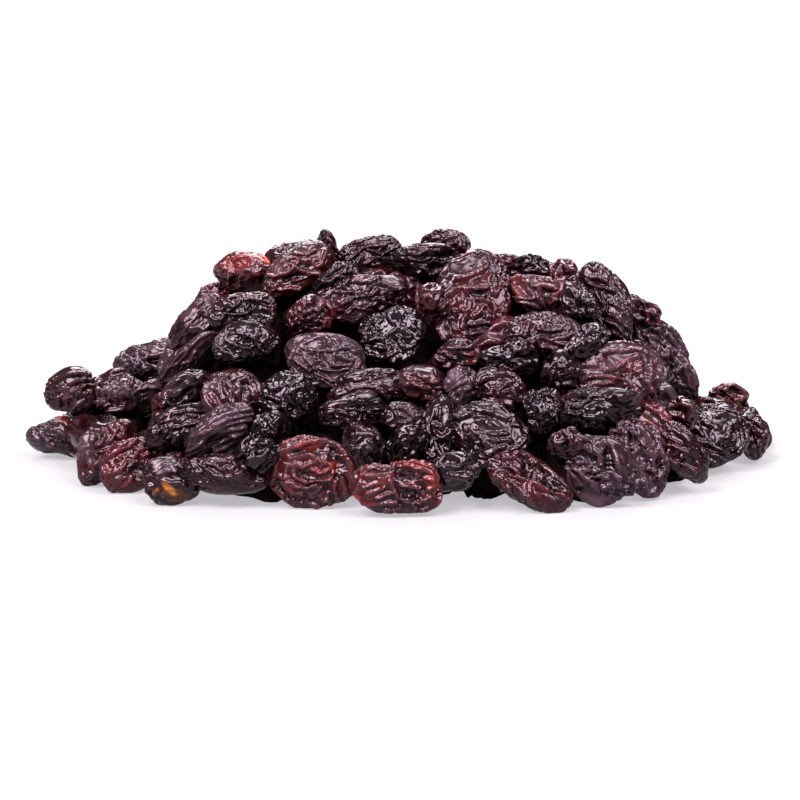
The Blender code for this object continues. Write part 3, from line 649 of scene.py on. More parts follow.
        (-9.4, 12.7, -8.2, 13.2, -6.0, 13.5, -4.4, 13.2, -3.4, 12.4, -2.2, 11.2),
        (-11.6, 9.6, -9.6, 9.7, -8.0, 10.0, -6.4, 10.4, -5.0, 10.6),
        (-10.0, 9.3, -8.6, 9.0, -7.2, 9.2, -5.8, 9.8, -4.4, 9.8), (-9.0, 11.2, -8.0, 10.4, -7.2, 10.6),
        (-7.4, 12.4, -6.6, 11.6, -5.8, 12.0),
    )),
    (39, 0.4, 0.34, (
        (-0.4, 16.8, 0.6, 15.8, 1.4, 14.8, 2.0, 14.4),
        (1.0, 13.2, 2.0, 14.2, 3.0, 13.4, 4.2, 13.0, 5.4, 12.4),
        (0.8, 12.6, 1.2, 11.8, 2.2, 11.2, 3.4, 11.3), (2.6, 14.8, 3.6, 14.3),
        (3.2, 15.6, 4.0, 15.4, 5.0, 14.4), (5.0, 15.2, 5.8, 14.0, 6.6, 14.0, 7.0, 14.6),
        (4.6, 13.2, 5.8, 12.9), (6.8, 13.0, 7.8, 13.1), (8.4, 13.0, 9.4, 12.2, 10.0, 11.2),
        (6.2, 12.2, 6.8, 11.2, 6.0, 10.8, 5.0, 11.0, 4.2, 10.6),
    )),
    (40, 0.38, 0.36, (
        (9.4, 13.0, 10.6, 14.0, 12.2, 14.8, 13.4, 15.4), (11.2, 12.8, 11.8, 13.4),
        (13.2, 15.0, 13.6, 13.8, 12.8, 13.6), (10.0, 13.4, 9.6, 12.2),
    )),
    (41, 0.42, 0.4, (
        (14.2, 12.6, 14.6, 14.2, 16.0, 15.2, 17.8, 15.4), (14.4, 11.6, 15.6, 12.4, 17.0, 12.4),
        (15.8, 11.4, 17.2, 11.0, 18.6, 10.8, 21.2, 10.3), (18.6, 12.2, 19.0, 13.4, 20.2, 14.2, 21.8, 14.8),
        (18.2, 15.8, 19.6, 16.0, 21.6, 15.4, 23.4, 14.4), (19.6, 12.6, 21.2, 13.0, 22.4, 12.0, 22.8, 11.0),
    )),
    (42, 0.42, 0.36, (
        (28.0, 17.6, 27.8, 16.0, 27.4, 14.2), (28.8, 17.2, 28.6, 15.8),
        (29.2, 16.4, 29.0, 14.6, 28.6, 12.8), (30.4, 17.4, 31.4, 17.4, 32.0, 16.4, 31.0, 16.0),
        (30.6, 15.8, 30.8, 14.2, 30.0, 13.0), (30.0, 13.8, 32.0, 14.0, 34.0, 13.6),
    )),
    (43, 0.45, 0.4, (
        (34.2, 19.4, 36.6, 20.2, 39.4, 20.6, 42.0, 20.3, 44.0, 20.8, 46.0,
         20.6, 47.8, 19.4, 49.0, 17.6, 49.3, 15.4),
        (39.6, 16.8, 41.4, 17.3, 43.0, 18.3, 45.2, 19.5), (38.4, 19.8, 38.9, 18.2, 39.4, 17.0),
        (34.2, 17.4, 36.0, 17.6, 38.0, 17.6),
        (35.4, 14.9, 37.0, 15.6, 38.8, 15.6, 40.4, 15.4, 42.0, 15.2, 43.6, 14.6, 44.6, 13.6, 45.6, 12.2),
        (38.0, 14.4, 39.6, 14.2, 40.8, 14.8), (43.8, 18.2, 43.9, 16.2, 43.6, 14.8),
        (45.6, 18.2, 45.8, 16.6, 46.4, 14.6), (47.4, 18.6, 47.6, 16.4, 47.2, 14.4, 47.8, 12.6, 48.6, 11.2),
        (36.4, 13.2, 37.2, 12.0, 38.2, 10.9, 40.0, 10.9, 41.6, 11.3, 43.2, 11.4, 44.4, 12.6),
        (45.4, 11.8, 46.2, 10.6, 46.4, 9.2),
    )),
    (44, 0.45, 0.4, (
        (46.2, 24.6, 47.6, 25.4, 49.4, 25.2, 50.6, 24.2), (46.6, 23.6, 48.0, 23.6, 49.2, 23.0),
        (47.2, 23.0, 47.6, 21.8, 46.8, 21.4), (49.0, 21.6, 48.8, 19.4, 49.4, 17.4, 50.6, 16.0),
        (50.2, 22.4, 50.8, 20.4, 51.2, 18.2, 51.4, 15.6), (51.4, 21.8, 52.0, 19.8, 53.0, 18.4),
        (52.2, 21.2, 53.4, 20.8, 54.4, 19.6), (52.4, 16.6, 53.4, 16.8, 54.2, 17.6),
        (52.0, 14.6, 53.2, 14.4, 54.4, 13.6), (51.0, 24.8, 53.0, 22.6, 54.6, 20.0, 55.6, 17.4),
        (52.4, 24.6, 54.2, 22.4, 55.8, 19.4, 56.8, 16.4), (50.0, 25.8, 51.6, 25.6, 53.0, 24.8),
        (54.4, 17.8, 55.4, 15.6, 55.8, 13.4), (56.0, 18.0, 57.0, 15.2, 57.2, 12.6),
    )),
    (45, 0.36, 0.45, (
        (-40.2, 24.6, -38.6, 26.4, -36.8, 28.0), (-38.0, 22.8, -36.6, 24.4, -35.2, 25.8),
        (-36.4, 27.2, -35.0, 26.6),
    )),
    (46, 0.42, 0.38, (
        (-34.0, 20.4, -32.6, 19.8, -31.0, 19.2),
        (-33.2, 22.2, -32.0, 21.7, -30.0, 21.0, -28.6, 20.8, -27.6, 21.4),
        (-28.4, 23.0, -27.4, 22.6, -26.8, 20.8, -26.2, 22.0, -25.2, 23.0),
        (-28.0, 18.4, -26.6, 18.8, -25.0, 20.2, -23.8, 21.6, -22.6, 22.0),
    )),
    (47, 0.42, 0.38, (
        (-33.6, 27.0, -32.4, 28.4, -30.4, 30.0, -28.6, 30.4, -26.6, 30.2, -24.6, 29.4, -24.0, 28.6),
        (-29.6, 29.6, -29.2, 28.4, -28.8, 29.6),
        (-33.8, 26.6, -32.8, 27.6, -31.6, 27.6, -29.2, 27.6, -27.4, 28.8),
        (-30.4, 26.4, -30.8, 25.2, -31.0, 24.4),
        (-28.4, 25.8, -26.8, 26.4, -25.6, 26.0, -24.6, 25.0, -23.8, 24.2),
    )),
    (49, 0.42, 0.36, (
        (-1.6, 27.2, -1.2, 26.6, 0.0, 25.8, 1.0, 24.8, 2.4, 23.8), (-2.0, 23.6, -1.0, 24.4, 0.0, 25.2),
        (-4.4, 21.6, -3.4, 21.4, -2.4, 21.1), (-7.0, 22.1, -5.2, 22.6, -4.0, 23.0, -2.8, 22.9),
        (-5.2, 19.8, -4.0, 19.5, -2.8, 19.3), (-4.0, 18.7, -2.8, 18.3, -2.0, 18.1, -0.8, 18.8, 0.2, 19.6),
        (-1.8, 19.6, -0.6, 20.2, 0.0, 20.8), (-1.6, 22.2, -0.8, 21.2), (0.2, 23.6, 0.4, 22.0, 1.2, 21.4),
        (1.0, 19.1, 2.0, 19.8, 3.4, 20.4), (0.6, 17.8, 1.6, 18.5),
        (-1.4, 29.0, 0.0, 28.9, 1.2, 28.2, 1.6, 27.0, 3.0, 26.2), (3.9, 24.4, 4.0, 23.0),
        (2.4, 25.6, 3.2, 25.1),
    )),
    (50, 0.4, 0.34, (
        (7.6, 21.3, 9.0, 21.2, 11.0, 21.3, 13.0, 21.5, 14.4, 21.9), (4.6, 21.2, 6.0, 20.6, 7.2, 20.8),
        (6.6, 19.8, 7.4, 18.9, 8.2, 18.8), (9.0, 20.1, 9.8, 19.6, 10.8, 19.4),
        (11.8, 20.8, 13.0, 20.3, 14.0, 20.0), (15.0, 20.4, 15.2, 19.4, 14.6, 18.4), (8.4, 17.7, 9.4, 17.8),
        (9.2, 17.0, 10.4, 17.2, 11.6, 17.4),
    )),
    (51, 0.42, 0.36, (
        (25.4, 22.9, 26.2, 23.3, 27.4, 23.0, 28.8, 22.4, 30.4, 22.0),
        (25.6, 22.8, 26.0, 21.8, 27.0, 21.5, 27.8, 21.6), (28.0, 22.9, 29.6, 23.1, 31.2, 23.4),
        (28.2, 21.4, 30.0, 21.2), (23.0, 21.8, 24.0, 20.9, 25.2, 19.9), (22.4, 22.6, 24.8, 22.4),
        (26.2, 19.9, 27.6, 19.1, 28.8, 19.1, 30.0, 19.8), (23.2, 23.6, 23.6, 24.8, 24.0, 25.8),
        (25.6, 24.8, 27.6, 24.6, 29.6, 24.8), (31.0, 23.6, 32.6, 24.2),
    )),
    (55, 0.35, 0.42, (
        (-35.6, 36.4, -33.8, 37.4, -32.0, 38.2, -29.6, 38.6, -28.4, 38.2),
        (-32.8, 37.4, -32.6, 35.4, -33.0, 33.2),
        (-30.8, 32.6, -30.8, 34.4, -30.0, 35.8, -28.6, 36.0, -27.6, 35.0),
        (-27.2, 35.6, -27.0, 33.6, -27.0, 31.6),
    )),
    (56, 0.36, 0.4, (
        (-36.0, 30.4, -34.8, 31.2, -33.6, 31.0), (-33.6, 31.2, -33.8, 29.8),
    )),
    (57, 0.45, 0.42, (
        (-25.4, 35.0, -24.0, 34.4, -23.0, 34.8, -21.4, 35.2, -20.2, 36.2),
        (-20.2, 36.6, -18.6, 35.6, -16.8, 35.0, -15.0, 34.8),
        (-20.4, 38.0, -18.8, 37.8, -17.6, 37.6, -16.0, 37.6, -14.8, 37.4),
        (-19.8, 39.0, -17.8, 38.6, -16.2, 39.4), (-19.6, 33.6, -18.0, 34.0, -17.0, 34.8),
        (-14.0, 39.4, -14.2, 38.0, -15.0, 36.6), (-24.8, 33.4, -24.0, 32.0, -24.6, 30.8),
        (-22.4, 31.8, -20.8, 32.0, -19.0, 31.6),
    )),
    (58, 0.38, 0.38, (
        (-15.2, 41.4, -14.2, 42.2, -13.2, 41.2, -12.4, 39.8), (-13.4, 40.2, -12.8, 38.8, -12.6, 37.4),
    )),
    (60, 0.42, 0.38, (
        (-9.2, 34.4, -7.8, 35.2, -5.8, 35.0, -4.0, 34.9, -5.2, 33.9, -7.0, 33.8, -9.0, 34.0),
        (-12.2, 31.8, -10.6, 31.6, -9.0, 31.8, -10.2, 32.6, -11.2, 33.4),
        (-12.0, 32.2, -13.2, 31.2, -14.8, 30.4, -16.4, 29.6),
        (-9.0, 30.4, -7.0, 30.9, -5.2, 31.2, -4.4, 32.0), (-3.8, 33.6, -2.4, 33.0, -1.0, 32.2),
        (-13.4, 29.6, -12.8, 28.4, -12.6, 27.4), (-10.8, 29.4, -9.0, 30.2),
        (-3.8, 28.4, -3.0, 29.2, -3.2, 30.2), (-9.8, 27.8, -8.4, 28.6, -6.6, 28.4),
    )),
    (61, 0.4, 0.36, (
        (-9.6, 37.0, -8.6, 38.2, -7.0, 39.4, -5.0, 40.0, -3.0, 40.0), (-7.8, 36.4, -7.0, 37.6),
        (-6.0, 36.4, -5.2, 37.2, -4.0, 37.6), (-5.8, 39.2, -4.4, 38.6, -3.6, 39.6),
        (-4.2, 37.0, -3.2, 38.2, -1.6, 39.2), (-4.0, 36.2, -3.2, 35.4, -2.2, 35.6),
        (-1.6, 38.4, -0.8, 37.2, -0.6, 35.8), (-1.0, 39.4, 0.6, 39.0, 1.6, 38.2), (0.2, 37.0, 0.2, 35.6),
        (-10.6, 36.4, -9.0, 36.8),
    )),
    (62, 0.4, 0.36, (
        (5.4, 40.0, 7.2, 40.2, 9.0, 40.2, 10.4, 39.2, 10.8, 37.6),
        (1.6, 38.6, 3.0, 38.2, 5.4, 39.4, 7.0, 39.2), (1.8, 37.4, 3.6, 37.0, 5.6, 37.6),
        (8.6, 36.8, 9.6, 37.0, 10.4, 37.4), (3.8, 35.6, 5.0, 35.0, 5.6, 34.0), (2.4, 35.0, 3.6, 34.6),
    )),
    (63, 0.38, 0.34, (
        (6.6, 40.8, 8.0, 41.4, 9.6, 42.2, 10.6, 42.4), (11.2, 42.0, 11.4, 40.6, 12.4, 39.6, 12.6, 38.2),
        (8.6, 40.8, 10.0, 41.0, 10.8, 41.6),
    )),
    (64, 0.42, 0.42, (
        (6.6, 26.0, 6.5, 28.5, 6.9, 31.0, 8.1, 33.2),
        (7.6, 27.0, 7.9, 29.4, 9.0, 31.4, 10.8, 32.4, 12.2, 32.8, 14.0, 32.3, 16.4, 32.4, 17.4, 33.0),
        (12.2, 32.4, 13.6, 31.2, 15.6, 30.4, 17.2, 29.6), (11.2, 30.6, 11.3, 28.8, 12.4, 28.0, 13.2, 28.6),
        (13.4, 29.8, 13.0, 27.8, 12.2, 26.2, 11.8, 24.4), (14.2, 27.0, 15.2, 27.6, 16.0, 29.0),
        (16.8, 30.4, 16.8, 28.2, 16.8, 26.4), (17.6, 29.6, 18.4, 28.4, 18.0, 26.4),
        (9.8, 29.4, 9.2, 26.6, 8.8, 24.8), (10.4, 28.0, 10.0, 25.6, 10.4, 24.0),
        (13.4, 25.2, 15.4, 25.4, 17.0, 25.6, 18.4, 25.0, 19.4, 25.8),
        (14.0, 23.4, 15.8, 23.8, 17.4, 23.6, 18.6, 24.4), (12.2, 25.4, 12.6, 23.6, 12.2, 22.2),
        (7.2, 24.4, 8.0, 22.8, 8.4, 22.0), (10.2, 34.4, 12.6, 34.6, 15.0, 35.6, 16.6, 36.4),
        (17.4, 35.2, 17.0, 33.8, 17.6, 32.2, 18.6, 31.4, 19.2, 33.0, 19.0, 35.0),
    )),
    (66, 0.42, 0.38, (
        (21.0, 33.8, 22.6, 34.7, 25.6, 34.8, 28.6, 34.2, 30.6, 32.6, 32.0, 30.4),
        (24.2, 33.8, 25.2, 32.7, 27.2, 33.0, 29.4, 32.4, 31.0, 31.0), (24.0, 33.6, 24.4, 32.0, 25.4, 30.8),
        (20.8, 30.4, 22.4, 30.2, 24.2, 30.0, 25.6, 30.4), (26.4, 32.6, 26.6, 30.4, 27.2, 28.6, 28.2, 26.8),
        (31.4, 29.8, 30.6, 30.2, 29.2, 30.1, 28.2, 29.2, 28.1, 27.8, 29.0, 26.6),
        (29.4, 29.2, 28.8, 28.6, 29.0, 27.8, 29.8, 27.7, 30.4, 28.3),
        (23.6, 28.8, 24.6, 27.4, 26.0, 26.6, 27.4, 26.2), (22.4, 29.6, 24.4, 29.2, 26.6, 28.2),
    )),
    (70, 0.45, 0.38, (
        (36.2, 33.0, 37.4, 32.4, 39.4, 32.2, 41.0, 31.6), (36.6, 34.0, 38.0, 34.2, 39.6, 33.4),
        (36.6, 31.0, 36.6, 29.0, 37.0, 27.2, 38.4, 25.6, 39.4, 24.0, 40.0, 23.2),
        (37.4, 31.6, 38.2, 29.8, 38.8, 28.8), (39.2, 31.2, 39.6, 29.4, 39.6, 27.4),
        (40.4, 29.4, 42.4, 28.2, 43.6, 26.8), (39.8, 27.0, 41.2, 26.6, 42.8, 25.2, 44.2, 24.0),
        (39.6, 25.8, 41.0, 25.2, 42.4, 24.0), (43.4, 29.0, 43.6, 27.2, 44.0, 25.6),
    )),
)

# The hollows between them, each (row of the raisin, depth, half width, line).
HOLLOWS = (
    (0, 0.5, 1.0, (-62.8, 6.3, -60.8, 6.2)),
    (0, 0.4, 1.0, (-67.4, 4.0, -64.0, 3.0, -61.5, 3.0)),
    (1, 0.5, 0.9, (-57.8, 4.6, -57.6, 4.2)),
    (2, 0.5, 1.5, (-50.4, -2.4, -50.2, -2.8)),
    (5, 0.6, 1.1, (-12.6, 1.2, -11.5, -0.8, -11.6, -3.0)),
    (5, 0.5, 0.9, (-23.5, -4.8, -22.3, -6.0, -20.8, -7.0, -18.5, -7.3)),
    (5, 0.45, 0.9, (-20.0, 1.4, -17.6, 2.0, -15.0, 1.8)),
    (5, 0.45, 0.9, (-19.2, -2.8, -17.4, -3.0)),
    (6, 0.6, 1.2, (0.2, -3.2, 1.8, -3.2)),
    (6, 0.45, 1.1, (3.8, -3.8, 4.6, -5.4)),
    (6, 0.4, 1.0, (0.6, -6.6, 3.0, -7.0)),
    (8, 0.6, 1.1, (23.4, 0.5, 24.0, -1.0, 24.2, -3.0)),
    (8, 0.8, 1.5, (27.4, -1.5, 28.4, -3.6, 29.4, -5.0)),
    (9, 0.7, 1.3, (34.6, 1.0, 36.6, -0.6)),
    (9, 0.5, 1.0, (40.0, 0.8, 40.2, -1.6)),
    (9, 0.5, 1.0, (32.0, -4.8, 32.9, -6.8)),
    (10, 0.6, 1.0, (47.0, 0.2, 47.4, -0.8)),
    (10, 0.6, 0.9, (44.2, 3.6, 44.2, 3.0)),
    (12, 0.5, 0.9, (61.4, 3.2, 63.0, 2.2)),
    (14, 0.4, 0.9, (-49.4, 15.0, -48.8, 14.4)),
    (15, 0.5, 1.2, (-61.8, 11.4, -60.0, 11.2)),
    (18, 0.4, 1.3, (-36.4, 3.0, -33.4, 3.6)),
    (33, 0.5, 0.7, (-47.4, 19.0, -45.4, 19.0)),
    (62, 0.5, 0.9, (4.0, 38.0, 8.0, 38.0)),
    (62, 0.6, 1.2, (6.5, 35.4, 8.6, 35.6)),
    (26, 0.4, 1.1, (7.0, 3.2, 8.6, 2.8)),
    (35, 0.5, 0.8, (-29.8, 14.4, -29.6, 13.6)),
    (43, 0.6, 1.1, (40.4, 12.8, 43.0, 12.6)),
    (43, 0.5, 1.0, (41.8, 16.8, 43.0, 16.4)),
    (43, 0.4, 0.9, (40.2, 19.4, 41.0, 18.6)),
    (44, 0.5, 0.7, (51.3, 19.0, 51.6, 16.0)),
    (46, 0.5, 1.0, (-30.4, 22.4, -29.0, 22.4)),
    (47, 0.5, 1.0, (-27.6, 28.0, -25.6, 27.6)),
    (55, 0.4, 0.9, (-31.6, 34.2, -31.5, 33.8)),
    (57, 0.5, 0.9, (-21.2, 34.0, -19.4, 34.4)),
    (57, 0.4, 0.8, (-18.6, 36.8, -17.2, 36.4)),
    (64, 0.5, 1.1, (13.6, 24.4, 18.6, 24.9)),
    (64, 0.5, 1.0, (14.0, 31.4, 15.8, 31.4)),
    (66, 0.5, 1.1, (22.6, 32.6, 23.6, 31.4)),
    (66, 0.45, 0.9, (27.4, 31.6, 28.6, 31.4)),
)


def mound_height(x, y):
    """Height of the heap's ground form over a point of the table, in mm; below 0 outside it."""
    best = -math.inf
    for left, right, middle, end_reach, side_reach, crest in RIDGES:
        past = max(left - x, x - right, 0.0) / end_reach
        aside = (y - middle) / side_reach
        fall = math.sqrt(past * past + aside * aside + CREST_ROUNDING**2) - CREST_ROUNDING
        best = max(best, crest * (1.0 - fall))
    return min(best, FOOT_RISE * (1.0 - foot_share(x, y)))


def foot_share(x, y):
    """How far out a point of the table lies, 1 being the oval foot of the heap."""
    middle, half_width, half_depth = FOOT
    return math.hypot((x - middle) / half_width, y / half_depth)


def mound_normal(x, y):
    """Unit normal of the ground form."""
    step = 1.0
    slope_x = (mound_height(x + step, y) - mound_height(x - step, y)) / (2 * step)
    slope_y = (mound_height(x, y + step) - mound_height(x, y - step)) / (2 * step)
    normal = np.array((-slope_x, -slope_y, 1.0))
    return normal / np.linalg.norm(normal)


def half_height(axes, halves):
    """How far an ellipsoid reaches up and down from its centre."""
    return float(np.linalg.norm(axes[:, 2] * halves))


def sight_frame():
    """The viewer's eye, and the unit directions towards the viewer, to the right and up."""
    toward = np.array((0.0, -math.cos(SIGHT_RISE), math.sin(SIGHT_RISE)))
    right = np.array((1.0, 0.0, 0.0))
    upward = np.array((0.0, math.sin(SIGHT_RISE), math.cos(SIGHT_RISE)))
    return toward * SIGHT_DISTANCE + upward * SIGHT_LEVEL, toward, right, upward


def as_seen(point):
    """(across, up, distance) of a point as it shows from the viewpoint."""
    eye, toward, right, upward = sight_frame()
    offset = point - eye
    distance = -offset.dot(toward)
    scale = SIGHT_DISTANCE / distance
    return offset.dot(right) * scale, offset.dot(upward) * scale + SIGHT_LEVEL, distance


def lie_on_slope(normal, outline, width):
    """(axes, half sizes) of a raisin that lies flat on a slope and shows the given outline.

    outline is the 2 by 2 matrix of the ellipse that shows, and width its narrow measure.
    """
    _, _, right, upward = sight_frame()
    picture = np.array((right, upward))
    first = np.cross(normal, right)
    first /= np.linalg.norm(first)
    flat = np.array((first, np.cross(normal, first))).T
    shown = picture @ normal
    room = SEEN_FILL / math.sqrt(shown @ np.linalg.inv(outline) @ shown + FACING_LEAST)
    depth = min(max(SEEN_SECTION / width, SEEN_DEPTH[0]), SEEN_DEPTH[1]) / 2
    depth = min(depth, room)
    back = np.linalg.inv(picture @ flat)
    sizes, ways = np.linalg.eigh(back @ (outline - depth**2 * np.outer(shown, shown)) @ back.T)
    _, along = (flat @ ways).T
    axes = np.array((along, np.cross(normal, along), normal))
    return axes, np.array((math.sqrt(sizes[1]), math.sqrt(sizes[0]), depth))


def meet_heap(sight, rest):
    """Where a line of sight meets the heap or the table, as (share of it, whether on the table).

    rest is how high the middle of the raisin lies when it rests on the table, at full distance.
    """
    eye = sight_frame()[0]
    nearest_share = None
    least_gap = math.inf
    on_table = False
    for step in range(SIGHT_STEPS):
        share = SIGHT_SHARES[0] + step * (SIGHT_SHARES[1] - SIGHT_SHARES[0]) / SIGHT_STEPS
        x, y, z = eye + sight * share
        ground = mound_height(x, y)
        settled = ground < rest * share + SETTLE_WITHIN
        gap = z - (rest * share if settled else ground)
        if y <= SEEN_REAR and gap < least_gap:
            least_gap = gap
            nearest_share = share
            on_table = settled
        if y > SEEN_REAR or gap <= 0.0:
            break
    return nearest_share, on_table


def seen_raisin(across, up, length, width, lean):
    """(centre, axes, half sizes) of a raisin given as it shows from the viewpoint."""
    eye, toward, right, upward = sight_frame()
    sight = right * across + upward * up - eye
    turn = math.radians(lean)
    ways = np.array(((math.cos(turn), -math.sin(turn)), (math.sin(turn), math.cos(turn))))
    outline = ways @ np.diag(((length / 2) ** 2, (width / 2) ** 2)) @ ways.T
    rest = math.sqrt(outline[1, 1]) * math.cos(SIGHT_RISE)
    share, on_table = meet_heap(sight, rest)
    centre = eye + sight * share
    lying = 0.0 if on_table else SLOPE_SHARE
    normal = toward * (1.0 - lying) + mound_normal(centre[0], centre[1]) * lying
    axes, halves = lie_on_slope(normal / np.linalg.norm(normal), outline, width)
    return centre, axes, halves * share


def strewn_raisin(draw):
    """A raisin lying on the ground form at a place drawn at random, or None outside it."""
    x = draw.uniform(-STREW_REACH[0], STREW_REACH[0])
    y = draw.uniform(-STREW_REACH[1], STREW_REACH[1])
    length = draw.uniform(*STREW_LENGTH)
    width = length * draw.uniform(*STREW_WIDTH_SHARE)
    depth = width * draw.uniform(*STREW_DEPTH_SHARE)
    heading = draw.uniform(0.0, math.pi)
    tilt = draw.uniform(-STREW_TILT, STREW_TILT)
    height = mound_height(x, y) - draw.uniform(0.0, STREW_SINK)
    if height < STREW_LOWEST:
        return None
    normal = mound_normal(x, y)
    along = np.array((math.cos(heading), math.sin(heading), 0.0))
    along -= normal * along.dot(normal)
    along /= np.linalg.norm(along)
    along = along * math.cos(tilt) + normal * math.sin(tilt)
    across = np.cross(normal, along)
    across /= np.linalg.norm(across)
    axes = np.array((along, across, np.cross(along, across)))
    halves = np.array((length, width, depth)) / 2
    centre = np.array((x, y, height))
    floor_level = half_height(axes, halves)
    if centre[2] < floor_level + SETTLE_WITHIN:
        centre[2] = floor_level
    return centre, axes, halves


def lies_clear(raisin, others, gap_share=STREW_GAP_SHARE):
    """Whether a raisin keeps its distance from all the others."""
    centre, _, halves = raisin
    for other_centre, _, other_halves in others:
        room = gap_share * (halves.mean() + other_halves.mean())
        if np.linalg.norm(centre - other_centre) < room:
            return False
    return True


def stays_behind(raisin, laid):
    """Whether a raisin shows to the viewer only between and behind the listed ones."""
    centre, axes, halves = raisin
    _, _, right, upward = sight_frame()
    spread = (axes.T * halves) @ (axes.T * halves).T
    outline = [centre]
    for step in range(OUTLINE_STEPS):
        turn = 2 * math.pi * step / OUTLINE_STEPS
        way = right * math.cos(turn) + upward * math.sin(turn)
        outline.append(centre + spread @ way / math.sqrt(way @ spread @ way))
    own_distance = as_seen(centre)[2]
    for point in outline:
        across, up, _ = as_seen(point)
        if not any(
            own_distance > distance
            and math.hypot(across - at_across, up - at_up) < COVER_SHARE * size
            for at_across, at_up, distance, size in laid
        ):
            return False
    return True


def lay_out_raisins():
    """Every raisin of the heap as (centre, axes, half sizes), in mm."""
    raisins = [seen_raisin(*measures) for *measures, _, _ in SEEN_RAISINS]
    laid = [(*as_seen(centre), halves[:2].mean()) for centre, _, halves in raisins]
    draw = random.Random(STREW_SEED)
    for _ in range(STREW_TRIES):
        raisin = strewn_raisin(draw)
        if raisin is None or not lies_clear(raisin, raisins):
            continue
        if stays_behind(raisin, laid):
            raisins.append(raisin)
    return raisins


def raisin_form(directions, index):
    """Radial scale of an uneven raisin in each unit direction, drawn from its index."""
    draw = np.random.RandomState(index)
    scale = np.ones(len(directions))
    for _ in range(FORM_WAVES):
        axis = draw.normal(size=3)
        axis /= np.linalg.norm(axis)
        count = draw.uniform(*FORM_COUNTS)
        phase = draw.uniform(0.0, 2 * math.pi)
        scale += FORM_SWELL * np.sin(count * directions @ axis + phase)
    ends = np.abs(directions[:, 0]) ** 3
    return scale * (1.0 + FORM_PINCH * ends * draw.uniform(-1.0, 1.0))


def core_height(x, y):
    """Height of the core over a point of the table, in mm."""
    edge = CORE_RISE * (1.0 - foot_share(x, y) / CORE_FOOT)
    return max(min(mound_height(x, y) - CORE_SINK, edge), 0.0)


def core_reach(heading):
    """Distance from the middle of the heap to the core's foot in one direction, in mm."""
    reach = 0.0
    while core_height(reach * math.cos(heading), reach * math.sin(heading)) > 0.0:
        reach += CORE_REACH_STEP
    return reach


def geodesic(frequency):
    """(unit directions, triangles) of an icosahedron whose edges are cut in this many parts."""
    work = bmesh.new()
    bmesh.ops.create_icosphere(work, subdivisions=1, radius=1.0)
    bmesh.ops.subdivide_edges(work, edges=work.edges, cuts=frequency - 1, use_grid_fill=True)
    places = np.array([vert.co[:] for vert in work.verts])
    faces = np.array([[vert.index for vert in face.verts] for face in work.faces])
    work.free()
    return places / np.linalg.norm(places, axis=1)[:, None], faces


def halve(faces, count):
    """(triangles, edges) after each edge is cut in two; the new points follow the old ones."""
    sides = np.concatenate([faces[:, (0, 1)], faces[:, (1, 2)], faces[:, (2, 0)]])
    edges, back = np.unique(np.sort(sides, axis=1), axis=0, return_inverse=True)
    ab, bc, ca = back.reshape(3, -1) + count
    a, b, c = faces.T
    quarters = ((a, ab, ca), (ab, b, bc), (ca, bc, c), (ab, bc, ca))
    return np.concatenate([np.stack(quarter, axis=1) for quarter in quarters]), edges


